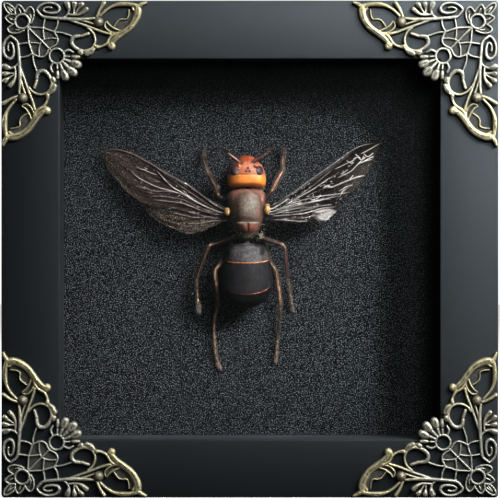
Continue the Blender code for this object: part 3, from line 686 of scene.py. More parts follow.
def rail(name, turn, finish):
    """One mitred rail with rounded edges: the bottom rail, turned about the frame's middle."""
    section = rail_section()
    bends = (45, 30, 15, 0)
    stations = [(-1, bend) for bend in bends]
    stations += [(share, None) for share in np.linspace(-0.9, 0.9, RAIL_STATIONS)]
    stations += [(1, bend) for bend in bends[::-1]]
    x, z = np.array([rail_point(*station, inward) for station in stations for inward, _ in section]).T
    inwards, depths = (np.tile(values, len(stations)) for values in zip(*section))
    c, s = math.cos(turn), math.sin(turn)
    turned = np.column_stack([x * c - z * s, depths, x * s + z * c + HALF])
    columns, rows = len(section), len(stations)
    faces = net_faces(rows, columns, closed=True)
    faces.append(tuple(range(columns))[::-1])
    faces.append(tuple((rows - 1) * columns + j for j in range(columns)))
    side = np.where(depths > FRONT + 0.9 * EASE, 1.0, 0.0)
    stock = Stock().add(turned, faces, inward=inwards / MM, side=side)
    tidy_normals(stock.piece(name + "_lacquered", finish, "frame", [name]), RAIL_SHARP_ANGLE)


def tidy_normals(obj, sharp_angle):
    """Turns every face outwards and keeps the edges sharper than the angle crisp."""
    bm = bmesh.new()
    bm.from_mesh(obj.data)
    bmesh.ops.recalc_face_normals(bm, faces=bm.faces)
    bm.to_mesh(obj.data)
    bm.free()
    obj.data.shade_smooth()
    obj.data.set_sharp_from_angle(angle=math.radians(sharp_angle))


def build_frame():
    lacquer = black_lacquer()
    for i, name in enumerate(("rail_bottom", "rail_right", "rail_top", "rail_left")):
        rail(name, i * math.pi / 2, lacquer)


def refinish(finish, *names):
    """Gives carried-over parts a new material."""
    for name in names:
        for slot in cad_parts[name].material_slots:
            slot.material = finish


def build_box():
    # One black card in two copies: the side strips darker as painted shade, the top and bottom strips lighter
    # as painted light.
    shaded_side_card = lining_card("black lining card", (0.003, 0.0033, 0.0037), (0.0069, 0.0075, 0.0084))
    lit_level_card = lining_card("black lining card with painted light", (0.019, 0.0213, 0.0243), (0.045, 0.0495, 0.0555))
    tabs = [f"back_tab_{side}" for side in ("left", "right", "top", "bottom")]
    refinish(pane_glass(), "glass_pane")
    refinish(shaded_side_card, "liner_left", "liner_right")
    refinish(lit_level_card, "liner_bottom", "liner_top")
    refinish(grained_paper(), "backing_card")
    refinish(fibreboard(), "back_board")
    refinish(zinc_plate(), "hanger", "hanger_nail_left", "hanger_nail_right", *tabs)


# The corner ornaments. Points are (u, v) in millimetres from the frame's corner, along its
# two edges. Each stroke off the diagonal has a twin with u and v swapped. A stroke's half
# widths are spread evenly along it.

TWIN_STROKES = {
    "flower petal behind": ((0.28, 0.3, 0.28), [
        (7.4, 3.6), (8.0, 2.6), (8.8, 2.05), (9.6, 2.5), (10.05, 3.7), (9.85, 5.5), (9.2, 7.0),
    ]),
    "ridge of the petal behind": ((0.24, 0.28, 0.2), [(8.9, 6.3), (9.1, 5.2), (8.9, 4.3)]),
    "flower petal beside the edge": ((0.28, 0.3, 0.28), [
        (7.3, 3.7), (6.6, 2.35), (5.35, 1.35), (4.65, 2.1), (4.3, 3.0), (4.4, 4.3),
    ]),
    "ridge of that petal": ((0.2, 0.28, 0.2), [(6.0, 3.8), (5.7, 3.0), (5.4, 2.5)]),
    "flower petal to the corner": ((0.28, 0.32, 0.3), [
        (4.35, 4.3), (4.15, 2.75), (3.2, 1.7), (2.0, 1.0), (0.95, 0.95),
    ]),
    "ridge of the corner petal": ((0.2, 0.26, 0.18), [(3.7, 3.2), (2.8, 2.5), (2.0, 1.9)]),
    "volute": ((0.44, 0.56, 0.5, 0.42, 0.4, 0.4, 0.42, 0.52, 0.46, 0.34, 0.3, 0.34), [
        (28.5, 5.5), (25.5, 5.75), (22.3, 5.8), (17.9, 5.55), (13.8, 5.2), (12.3, 4.65), (11.4, 3.6),
        (10.98, 2.8), (11.8, 1.75), (13.2, 1.0), (14.8, 0.8), (16.4, 1.05), (17.55, 1.9), (17.8, 2.9),
        (17.0, 3.7), (15.3, 3.9), (13.7, 3.6), (12.95, 3.0), (13.4, 2.3), (14.6, 2.1), (15.4, 2.3),
    ]),
    "edge leaf finger 1": ((0.34, 0.34, 0.42, 0.72, 0.8), [
        (18.8, 5.5), (20.1, 4.5), (20.7, 3.1), (20.5, 1.9), (20.2, 1.1),
    ]),
    "edge leaf finger 2": ((0.3, 0.32, 0.6, 0.7), [(22.3, 4.3), (22.3, 2.8), (22.4, 1.7), (22.5, 1.1)]),
    "edge leaf finger 3": ((0.28, 0.34, 0.62, 0.68), [(22.8, 3.9), (23.6, 2.6), (24.3, 1.6), (24.7, 1.2)]),
    "edge leaf finger 4": ((0.34, 0.34, 0.44, 0.56, 0.66), [
        (20.5, 4.3), (22.3, 4.45), (23.7, 4.3), (24.95, 3.7), (26.1, 2.7),
    ]),
    "spike": ((0.42, 0.5, 0.58), [(29.3, 5.0), (30.2, 2.8), (31.5, 0.85)]),
    "loop, edge side": ((0.42, 0.46, 0.52, 0.66, 0.6, 0.6), [
        (30.3, 4.7), (32.4, 2.8), (34.5, 1.65), (36.9, 1.2), (39.6, 1.3), (42.0, 1.8),
    ]),
    "loop tip": ((0.7, 0.46), [(42.0, 1.9), (43.0, 1.2), (44.2, 0.7)]),
    "loop, inner side": ((0.85, 1.05, 1.0, 0.9, 0.82, 0.8, 0.72, 0.66), [
        (41.7, 2.2), (41.8, 3.3), (41.5, 4.9), (40.6, 6.7), (39.4, 8.3), (37.6, 9.7), (35.7, 11.1),
        (34.2, 12.6), (33.7, 13.8),
    ]),
    "rim inside the loop": ((0.36, 0.4, 0.4, 0.34), [
        (40.2, 2.4), (40.9, 3.6), (40.8, 4.9), (40.2, 6.3), (39.1, 7.7), (37.6, 8.9), (35.9, 9.9), (34.8, 10.3),
    ]),
    "edge line in the loop": ((0.2, 0.24, 0.2), [
        (39.12, 2.9), (38.95, 4.7), (38.3, 5.75), (36.9, 5.75), (35.9, 6.1), (35.0, 7.2), (34.6, 7.9),
    ]),
    "bud": ((1.0, 1.08), [(33.5, 13.8), (33.7, 14.0)]),
    "leaf in the loop, upper edge": ((0.26, 0.3, 0.3, 0.22), [
        (36.6, 9.3), (34.9, 8.7), (33.3, 7.7), (32.3, 6.4),
    ]),
    "leaf in the loop, lower edge": ((0.26, 0.3, 0.3, 0.22), [
        (36.0, 9.9), (34.2, 9.9), (32.6, 9.1), (31.7, 7.9), (31.9, 6.7),
    ]),
    "wave": ((0.42, 0.46, 0.46, 0.42, 0.62), [
        (36.2, 9.9), (34.6, 10.4), (33.4, 11.3), (32.3, 13.1), (31.3, 13.8), (30.1, 14.2), (29.1, 14.2),
    ]),
    "middle stem": ((0.34, 0.36), [(28.6, 7.4), (26.9, 6.8), (25.5, 6.4), (23.6, 5.9)]),
    "lower stem": ((0.44, 0.42, 0.4), [
        (33.4, 10.3), (32.1, 10.0), (30.2, 9.4), (27.8, 8.45), (25.6, 7.65), (22.8, 6.7), (20.4, 5.8),
    ]),
    "scroll": ((0.4, 0.38, 0.4, 0.46, 0.52, 0.58, 0.6, 0.55), [
        (26.5, 8.4), (27.75, 9.5), (28.55, 10.9), (28.75, 12.6), (28.0, 14.35), (26.7, 15.2), (24.9, 15.45),
        (22.9, 14.6), (21.75, 13.5), (21.6, 12.2), (22.3, 11.2), (23.8, 10.9),
    ]),
    "scroll end bar": ((0.5, 0.5), [(24.6, 10.9), (26.7, 10.2)]),
    "crest": ((0.5, 0.75, 0.72), [(28.4, 14.9), (27.4, 15.8), (26.2, 16.35)]),
    "crest bud": ((0.72, 0.66), [(24.5, 16.1), (24.0, 15.9)]),
    "tie to the scroll": ((0.3, 0.3), [(21.9, 11.0), (19.6, 10.2), (18.1, 9.8), (16.5, 9.75)]),
    "leaf rim": ((0.3, 0.32, 0.32), [(16.2, 9.6), (17.0, 11.0), (17.3, 12.3), (16.7, 13.6), (14.7, 14.7)]),
    "leaf upper edge": ((0.32, 0.3), [(16.2, 9.55), (14.4, 9.0), (12.9, 8.5), (10.6, 8.3), (8.4, 8.2)]),
    "leaf vein to the stem": ((0.3, 0.28), [(13.4, 5.4), (12.95, 8.2), (12.95, 10.2), (13.2, 11.8)]),
    "leaf cross vein": ((0.26, 0.26), [(17.1, 11.7), (15.3, 11.6), (13.7, 11.85), (12.6, 12.3)]),
    "tie to the stem": ((0.3, 0.3), [(17.5, 5.7), (17.1, 8.0), (16.2, 9.55)]),
    "fan side ray": ((0.34, 0.42, 0.3), [(18.9, 15.9), (20.6, 15.2), (22.0, 15.8)]),
    "fan finger root": ((0.32, 0.34), [(19.4, 17.1), (20.9, 17.2)]),
    "fan finger": ((0.5, 0.56, 0.5), [(21.9, 17.25), (22.8, 17.3), (23.7, 17.3)]),
    "fan lobe root": ((0.36, 0.5), [(19.2, 18.0), (20.9, 18.65)]),
    "fan lobe": ((0.8, 1.08, 1.0), [(22.0, 19.0), (22.9, 19.4), (23.5, 19.65)]),
}
DIAGONAL_STROKES = {
    "middle fan root": ((0.4, 0.56), [(18.75, 18.75), (20.1, 20.1)]),
    "middle fan lobe": ((0.8, 1.12, 1.05), [(20.95, 20.95), (21.7, 21.7), (22.15, 22.15)]),
    "leaf midrib": ((0.34, 0.3), [(8.2, 8.2), (11.5, 11.5), (15.2, 15.2)]),
}
# Thin floors between the strokes: half widths, points.
TWIN_FLOORS = {
    "petal floor beside the edge": ((0.95, 0.75), [(6.0, 3.9), (5.5, 2.6)]),
    "petal floor behind": ((0.85, 0.75), [(8.7, 3.2), (9.1, 5.9)]),
    "petal floor to the corner": ((0.95, 0.8), [(3.9, 3.6), (2.0, 1.8)]),
    "loop floor": ((0.9, 1.15, 1.3, 2.0, 1.95, 1.3), [
        (40.1, 3.2), (40.2, 4.8), (39.2, 6.8), (37.2, 7.8), (36.0, 8.1), (35.1, 8.7),
    ]),
    "leaf body": ((0.3, 0.6, 0.75, 0.6, 0.2), [
        (36.5, 9.5), (34.8, 9.4), (33.4, 8.7), (32.4, 7.7), (32.1, 6.7),
    ]),
    "leaf floor": ((1.3, 2.6), [(10.3, 9.3), (14.4, 11.9)]),
    "fan floor": ((0.7, 1.0, 0.8), [(19.3, 17.7), (21.5, 18.4), (22.4, 18.8)]),
    "fan floor between": ((0.8, 1.1, 0.9), [(18.9, 18.3), (20.6, 19.6), (21.7, 20.4)]),
}
RINGS = (((6.45, 6.45), 2.17, 0.42), ((17.0, 17.0), 2.25, 0.4))  # centre, radius, half width
STUD_CENTRE, STUD_RADIUS = (29.8, 6.65), 1.6
ORNAMENT_GRID, ORNAMENT_START, ORNAMENT_REACH, FILLET = 0.14, -0.6, 45.2, 0.1
EDGE_HEIGHT, FLOOR_HEIGHT, STUD_FOOT = 0.5, 0.58, 0.75  # above the rail's face
STUD_RISE = 2.45 - 0.78  # from the stud's foot to its top
CAST_GRAIN = ((0.09, 0.9, 3), (0.05, 0.35, 4))  # depth, cell, seed
STROKE_SWELL = 1.22  # how much wider the cast strokes are than their lines
GILT_START, GILT_REACH = 20, 14  # where the bronze starts to turn golden, and over what length
CASTING_SHARP_ANGLE = 62


def spread(widths, count):
    """The widths, evenly spread over this many points."""
    return np.interp(np.linspace(0, 1, count), np.linspace(0, 1, len(widths)), widths)


def stroke_reach(u, v, path, widths):
    """How far outside the stroke each place is, and how far across the stroke, 0 to 1."""
    outside, across, width = np.full(u.shape, 99.0), np.full(u.shape, 9.0), np.full(u.shape, 0.3)
    for (u0, v0), (u1, v1), w0, w1 in zip(path, path[1:], widths, widths[1:]):
        du, dv = u1 - u0, v1 - v0
        share = np.clip(((u - u0) * du + (v - v0) * dv) / (du * du + dv * dv), 0, 1)
        local = w0 + (w1 - w0) * share
        away = np.hypot(u - u0 - share * du, v - v0 - share * dv)
        closer = away - local < outside
        outside = np.where(closer, away - local, outside)
        across = np.where(closer, away / local, across)
        width = np.where(closer, local, width)
    return outside, across, width


def casting_relief():
    """The grid of the casting: its outline distance, its height above the rail, its ridges and its studs."""
    grid = np.arange(ORNAMENT_START, ORNAMENT_REACH, ORNAMENT_GRID)
    u, v = np.meshgrid(grid, grid, indexing="ij")
    metal, height, ridge, stud = (np.zeros(u.shape) for _ in range(4))
    mottle = lattice_noise(u / 0.55, v / 0.55, 5)

    def lay(path, widths, floor=False):
        nonlocal metal, height, ridge
        outside, across, width = stroke_reach(u, v, path, widths * (1.0 if floor else STROKE_SWELL))
        metal = metal + np.exp(-outside / FILLET)
        inside = across < 1
        if floor:
            height = np.where(inside, np.maximum(height, FLOOR_HEIGHT), height)
            ridge = np.where(inside, np.maximum(ridge, 0.05 + 0.3 * mottle), ridge)
            return
        crown = np.minimum(1.2, 0.42 + 1.0 * width)
        round_ = np.clip(1 - across**3, 0, 1) ** 0.5
        height = np.where(inside, np.maximum(height, EDGE_HEIGHT + crown * round_), height)
        broad = step(width, 0.55, 0.8)
        crest = 1 - np.clip(across, 0, 1) ** 2.2
        worn = 0.5 + 0.5 * hump(across, 0.6, 0.28) - 0.2 * step(mottle, 0.4, 0.75) * (1 - across)
        ridge = np.where(inside, np.maximum(ridge, crest * (1 - broad) + worn * broad), ridge)

    for strokes, twin, floor in (
        (TWIN_FLOORS, True, True), (TWIN_STROKES, True, False), (DIAGONAL_STROKES, False, False),
    ):
        for widths, points in strokes.values():
            path = smooth_path(points, 6)
            for line in (path, path[:, ::-1]) if twin else (path,):
                lay(line, spread(widths, len(path)), floor)
    for (cu, cv), radius, width in RINGS:
        angles = np.linspace(0, 2 * np.pi, 33)
        ring = np.column_stack([cu + radius * np.cos(angles), cv + radius * np.sin(angles)])
        lay(ring, np.full(len(ring), width))
    for cu, cv in (STUD_CENTRE, STUD_CENTRE[::-1]):
        away = np.hypot(u - cu, v - cv) / STUD_RADIUS
        metal = metal + np.exp(-(away - 1) * STUD_RADIUS / FILLET)
        dome = np.sqrt(np.clip(1 - away**2, 0, 1))
        height = np.where(away < 1, np.maximum(height, STUD_FOOT + STUD_RISE * dome), height)
        ridge = np.where(away < 1, 0.3 + 0.45 * dome, ridge)
        stud = np.where(away < 1, 1.0, stud)
    outline = -FILLET * np.log(metal + 1e-30)
    for (cu, cv), radius, width in RINGS:
        outline = np.maximum(outline, radius - width - np.hypot(u - cu, v - cv))
    height = np.maximum(height, EDGE_HEIGHT)
    height += sum(depth * (lattice_noise(u / cell, v / cell, seed) - 0.5) for depth, cell, seed in CAST_GRAIN)
    return grid, outline, height, ridge, stud


def casting_mesh():
    """Corners, faces, ridge and stud marks of the casting's front, its outline cut through the grid."""
    grid, outline, height, ridge, stud = casting_relief()
    size = len(grid)
    inside = outline < 0
    number = np.full((size, size), -1)
    number[inside] = np.arange(inside.sum())
    i, j = np.nonzero(inside)
    points = [np.column_stack([grid[i], grid[j], height[inside]])]
    ridges, studs = [ridge[inside]], [stud[inside]]
    count = len(i)
    full = inside[:-1, :-1] & inside[1:, :-1] & inside[1:, 1:] & inside[:-1, 1:]
    a, b = np.nonzero(full)
    faces = np.column_stack([number[a, b], number[a + 1, b], number[a + 1, b + 1], number[a, b + 1]]).tolist()
    cut = (inside[:-1, :-1] | inside[1:, :-1] | inside[1:, 1:] | inside[:-1, 1:]) & ~full
    crossings, extra, extra_ridge = {}, [], []
    for a, b in np.argwhere(cut):
        ring = [(a, b), (a + 1, b), (a + 1, b + 1), (a, b + 1)]
        face = []
        for here, there in zip(ring, ring[1:] + ring[:1]):
            if inside[here]:
                face.append(number[here])
            if inside[here] != inside[there]:
                key = (here[0] + there[0], here[1] + there[1])
                if key not in crossings:
                    share = np.clip(outline[here] / (outline[here] - outline[there]), 0.12, 0.88)
                    crossings[key] = count + len(extra)
                    place_u = grid[here[0]] + (grid[there[0]] - grid[here[0]]) * share
                    place_v = grid[here[1]] + (grid[there[1]] - grid[here[1]]) * share
                    extra.append((place_u, place_v, EDGE_HEIGHT))
                    extra_ridge.append(0.0)
                face.append(crossings[key])
        if len(face) > 2:
            faces.append(face)
    points.append(np.array(extra))
    ridges.append(np.array(extra_ridge))
    studs.append(np.zeros(len(extra)))
    return np.vstack(points), faces, np.concatenate(ridges), np.concatenate(studs)


def build_ornaments():
    """Four castings: the relief in front, walls round it, and a flat back that lies on the rails."""
    bronze = antique_bronze()
    points, faces, ridges, studs = casting_mesh()
    corners = (("top_left", -1, 1), ("top_right", 1, 1), ("bottom_right", 1, -1), ("bottom_left", -1, -1))
    bm = bmesh.new()
    worn = bm.verts.layers.float.new("ridge")
    gilt = bm.verts.layers.float.new("gilt")
    round_stud = bm.verts.layers.float.new("stud")
    verts = []
    for (u, v, height), ridge, stud in zip(points, ridges, studs):
        vert = bm.verts.new((u * MM, -height * MM, -v * MM))
        vert[worn] = ridge
        vert[round_stud] = stud
        vert[gilt] = min(1, max(0, (max(u, v) - GILT_START) / GILT_REACH))
        verts.append(vert)
    for face in faces:
        bm.faces.new([verts[k] for k in face])
    # a wall below each edge of the outline, in the same order each run
    below, foot = {}, []
    for edge in [edge for edge in bm.edges if edge.is_boundary]:
        loop = edge.link_loops[0]
        start, end = loop.vert, loop.link_loop_next.vert
        for vert in (start, end):
            if vert not in below:
                below[vert] = bm.verts.new((vert.co.x, 0, vert.co.z), vert)
        bm.faces.new([end, start, below[start], below[end]])
        foot.append(bm.edges.get([below[start], below[end]]))
    bmesh.ops.triangle_fill(bm, use_beauty=False, use_dissolve=False, edges=foot)
    bmesh.ops.recalc_face_normals(bm, faces=bm.faces)
    for i, (name, side, up) in enumerate(corners):
        mesh = bpy.data.meshes.new(f"ornament_{name}_cast")
        bm.to_mesh(mesh)
        co = np.zeros(len(mesh.vertices) * 3)
        mesh.vertices.foreach_get("co", co)
        co = co.reshape(-1, 3)
        c, s = math.cos(i * math.pi / 2), math.sin(i * math.pi / 2)
        x = co[:, 0] * c + co[:, 2] * s + side * HALF
        z = co[:, 2] * c - co[:, 0] * s + HALF + up * HALF
        y = co[:, 1] + FRONT
        mesh.vertices.foreach_set("co", np.column_stack([x, y, z]).ravel())
        mesh.shade_smooth()
        mesh.set_sharp_from_angle(angle=math.radians(CASTING_SHARP_ANGLE))
        fit(mesh.name, mesh, bronze, [f"corner_ornament_{name}"])
    bm.free()


# The hornet


class Body:
    """A rounded body through oval rings: z, half width, middle h, half height."""

    def __init__(self, middle_x, rings, power=2.0):
        path = smooth_path(rings, 10)
        path = path[np.argsort(path[:, 0])]
        self.middle_x, self.power, self.path = middle_x, power, path

    def ring(self, z):
        """Half width, middle h and half height at this z."""
        return [np.interp(z, self.path[:, 0], self.path[:, k]) for k in (1, 2, 3)]

    def top(self, x, z):
        """h of the body's upper side at this place."""
        wide, middle, high = self.ring(z)
        share = np.clip(np.abs((x - self.middle_x) / np.maximum(wide, 0.01)), 0, 0.995)
        return middle + high * (1 - share**self.power) ** (1 / self.power)

    def stations(self, rows):
        """The z of a net's rows, as closely spaced as the body's own rings."""
        return np.interp(np.linspace(0, 1, rows), np.linspace(0, 1, len(self.path)), self.path[:, 0])

    def net(self, rows, sides, bow=None):
        """Points over the whole body, from its low z end to its high z end, as x, z, h and angle."""
        zs = self.stations(rows)
        angles = 2 * np.pi * np.arange(sides) / sides
        wide, middle, high = (k[:, None] for k in self.ring(zs))
        c, s = np.cos(angles)[None, :], np.sin(angles)[None, :]
        e = 2 / self.power
        x = self.middle_x + wide * np.sign(c) * np.abs(c) ** e
        h = middle + high * np.sign(s) * np.abs(s) ** e
        z = zs[:, None] + np.zeros_like(c)
        if bow is not None:
            z = z + bow(zs)[:, None] * np.clip(s, 0, 1)
        return x, z, h, np.broadcast_to(angles[None, :], x.shape)


HEAD = Body(-1.0, [
    (18.75, 3.6, 6.8, 1.9), (18.85, 4.8, 7.0, 2.9), (19.2, 5.45, 7.1, 3.6), (20.0, 5.8, 7.2, 4.1),
    (21.4, 5.92, 7.2, 4.35), (22.8, 5.75, 7.1, 4.4), (24.3, 5.3, 7.0, 4.4), (25.5, 4.75, 6.6, 4.3),
    (26.4, 3.9, 6.2, 4.1), (27.1, 2.95, 5.7, 3.7), (27.8, 2.45, 5.2, 3.1), (28.35, 2.0, 4.8, 2.4),
    (28.65, 1.1, 4.5, 1.5),
], 2.35)
THORAX = Body(-0.85, [
    (18.4, 2.6, 5.8, 2.2), (18.2, 4.0, 6.0, 3.2), (17.6, 5.05, 6.3, 4.3), (16.4, 5.7, 6.6, 5.1),
    (14.6, 5.75, 6.9, 5.7), (12.5, 5.45, 7.0, 6.0), (10.5, 5.1, 7.0, 6.0), (8.5, 4.75, 6.9, 5.8),
    (6.8, 4.2, 6.7, 5.3), (5.4, 3.5, 6.3, 4.6), (4.3, 2.7, 5.9, 3.8), (3.5, 1.9, 5.5, 2.9),
    (3.1, 1.2, 5.2, 2.0),
], 2.1)
ABDOMEN = Body(-1.15, [
    (1.75, 1.6, 5.6, 1.6), (1.6, 3.4, 6.0, 2.8), (1.25, 4.9, 6.3, 3.9), (0.6, 5.7, 6.6, 4.6),
    (-0.9, 6.3, 7.0, 5.4), (-3.6, 6.75, 7.2, 6.0), (-5.0, 7.45, 7.2, 6.3), (-7.4, 7.95, 7.1, 6.4),
    (-10.4, 8.0, 6.9, 6.2), (-13.0, 7.3, 6.4, 5.6), (-15.2, 5.7, 5.7, 4.8), (-16.9, 3.8, 5.0, 3.6),
    (-17.8, 2.0, 4.5, 2.0),
], 2.05)


def corner_values(mark, x, z):
    """A mark is one number, or a function of the place."""
    return np.ravel(np.broadcast_to(mark(x, z) if callable(mark) else mark, np.shape(x)))


def shell(stock, body, rows, sides, shape=None, bow=None, **marks):
    """Adds a whole body. shape(x, z, h) gives what is added to h and to the half width."""
    x, z, h, angle = body.net(rows, sides, bow)
    if shape is not None:
        lift, swell = shape(x, z, h)
        h = h + lift * np.clip(np.sin(angle) + 0.2, 0, 1)
        x = x + swell * (x - body.middle_x)
    found = {name: np.append(corner_values(mark, x, z), [0, 0]) for name, mark in marks.items()}
    ends = place([body.middle_x] * 2, [z[0].mean(), z[-1].mean()], [h[0].mean(), h[-1].mean()])
    return stock.add(np.vstack([place(x, z, h), ends]), capped_faces(rows, sides), **found)


def plate(stock, body, outline, rise, rows, count, sunk=0.3, **marks):
    """Adds a domed plate that lies on a body and sinks into it all round its edge."""
    loop = along_path(outline + outline[:1], count + 1)[:-1]
    centre = loop.mean(0)
    shares = np.linspace(0.04, 1, rows)
    x = centre[0] + np.outer(shares, loop[:, 0] - centre[0])
    z = centre[1] + np.outer(shares, loop[:, 1] - centre[1])
    dome = (1 - shares**4)[:, None]
    h = body.top(x, z) + rise * dome - sunk * (1 - dome)
    found = {
        name: np.append(corner_values(mark, x, z), corner_values(mark, *centre)) for name, mark in marks.items()
    }
    points = np.vstack([place(x, z, h), place(*centre, body.top(*centre) + rise)])
    faces = net_faces(rows, count, closed=True)
    faces += [((j + 1) % count, j, rows * count) for j in range(count)]
    return stock.add(points, faces, **found)


def mirrored(middle, side, outline):
    """An outline given to the right of a middle line, put on this side of it."""
    return [(middle + side * away, *rest) for away, *rest in outline]


def head_shape(x, z, h):
    """The groove before the orange band, the ridge above it, the brow's seam and the swell of the front."""
    middle = HEAD.middle_x
    lift = -0.16 * hump(z, 22.6, 0.22) * (1 - step(np.abs(x - middle), 3.8, 5.0))
    lift = lift + 0.10 * hump(z, 23.05, 0.25) * hump(x, middle, 2.2)
    lift = lift - 0.22 * hump(x, middle, 0.22) * step(z, 24.8, 25.4) * (1 - step(z, 26.9, 27.6))
    lift = lift + 0.45 * hump(x, middle, 1.9) * hump(z, 27.4, 1.0)
    lift = lift + 0.12 * (hump(x, middle - 2.6, 1.6) + hump(x, middle + 2.6, 1.6)) * hump(z, 20.8, 1.2)
    return lift, 0.0


def head_bow(zs):
    """How far the head's hind edge curves forward in its middle."""
    return 0.45 * (1 - step(zs, 18.8, 20.6))


# Painted shade: dark spots of colour in the head's hollows, by the antennae, beside the eyes and round the
# ocelli.
HOLLOW_SHADES = (  # x, z, width and darkness of the head's dark hollows
    (-2.5, 26.2, 0.6, 1.0), (0.7, 26.4, 0.6, 1.0), (-0.62, 24.2, 0.62, 0.55), (-4.2, 22.35, 1.1, 0.45),
    (-6.1, 23.6, 0.9, 0.6), (-6.0, 25.3, 0.9, 0.75), (2.3, 22.7, 0.6, 0.3), (4.2, 23.4, 0.5, 0.35),
    (1.1, 25.0, 0.35, 0.3),
)
# Each eye carries a painted highlight: grey low on the lens, and a pale spot round the middle given in this
# table.
EYES = (  # centre, radii, middle and width of the glint
    ((-4.4, 24.15, 9.75), (1.7, 2.05, 1.95), (-3.6, 23.1), 0.55),
    ((2.75, 23.85, 9.75), (1.35, 1.6, 1.7), (2.2, 23.9), 0.6),
)
OCELLI = ((-0.56, 24.7), (-1.1, 23.75), (-0.02, 23.7))
JAW = ((2.1, 26.9, 3.9), (2.2, 27.6, 2.9), (1.5, 28.1, 2.0), (0.4, 27.9, 1.5))


def build_head(limb_finish):
    stock = Stock()
    shell(
        stock, HEAD, 90, 96, head_shape, head_bow,
        band=lambda x, z: 1 - step(z, 22.3, 22.9),
        # front: redder towards the jaws; its lower-left term is a darker red, painted as shade on the side away
        # from the light.
        front=lambda x, z: np.maximum(
            step(z, 25.5, 27.2), 0.55 * (1 - step(x, -6.6, -4.6)) * (1 - step(z, 21.0, 24.5))
        ),
        socket=lambda x, z: sum(
            deep * hump(np.hypot(x - sx, z - sz), 0, wide) for sx, sz, wide, deep in HOLLOW_SHADES
        ),
    )
    stock.add(*ball((-3.35, 25.15, 10.85), (0.55, 0.85, 0.8)), front=0.1)
    stock.add(*ball((1.85, 25.3, 10.6), (0.8, 0.6, 0.8)), front=0.0)
    stock.piece("head_capsule", head_shell(), "orange_shell", ["head"])
    eyes = Stock()
    for centre, radii, painted_glint, wide in EYES:
        points, faces = ball(centre, radii, 40, 56)
        x, z = points[:, 0] / SPECIMEN_UNIT, (points[:, 2] - HALF) / SPECIMEN_UNIT
        # grey: a painted highlight, low on the lens and round the pale spot
        grey = 0.13 * (1 - step(z, centre[1] - 0.8, centre[1] + 0.7))
        grey = grey + wide * 1.1 * hump(np.hypot(x - painted_glint[0], z - painted_glint[1]), 0, wide)
        eyes.add(points, faces, grey=np.clip(grey, 0, 1))
    for x, z in OCELLI:
        eyes.add(*ball((x, z, HEAD.top(x, z) + 0.02), (0.33, 0.33, 0.24), 10, 14))
    eyes.piece("eyes_and_ocelli", eye_lens(), "black_shell")
    jaws = Stock()
    for side in (-1, 1):
        taper(jaws, smooth_path(mirrored(HEAD.middle_x, side, JAW), 5), 0.85, 0.25, 12, amber=0.6)
    jaws.piece("jaws", limb_finish, "orange_shell")


# Each limb runs through stations: x, z, h, radius, amber share.
ANTENNAE = {
    "antenna_left": [
        (-2.4, 26.0, 9.5, 0.46, 0.45), (-4.3, 27.5, 10.1, 0.47, 0.5), (-6.0, 28.7, 10.4, 0.46, 1.0),
        (-6.9, 29.4, 10.1, 0.2, 0.0), (-8.4, 30.4, 8.6, 0.21, 0.0), (-10.1, 30.8, 6.6, 0.26, 0.0),
        (-11.6, 30.1, 4.9, 0.27, 0.0), (-12.25, 28.9, 3.6, 0.25, 0.0), (-12.35, 27.6, 2.6, 0.19, 0.0),
    ],
    "antenna_right": [
        (0.6, 26.2, 9.6, 0.46, 0.0), (2.3, 27.4, 10.2, 0.48, 0.0), (4.0, 28.4, 10.6, 0.44, 0.1),
        (4.8, 29.0, 10.3, 0.25, 0.9), (5.8, 29.9, 9.0, 0.25, 1.0), (6.6, 30.5, 7.2, 0.23, 0.8),
        (7.1, 30.4, 5.4, 0.3, 0.0), (7.35, 29.9, 3.8, 0.24, 0.0), (7.1, 29.3, 2.7, 0.19, 0.0),
    ],
}
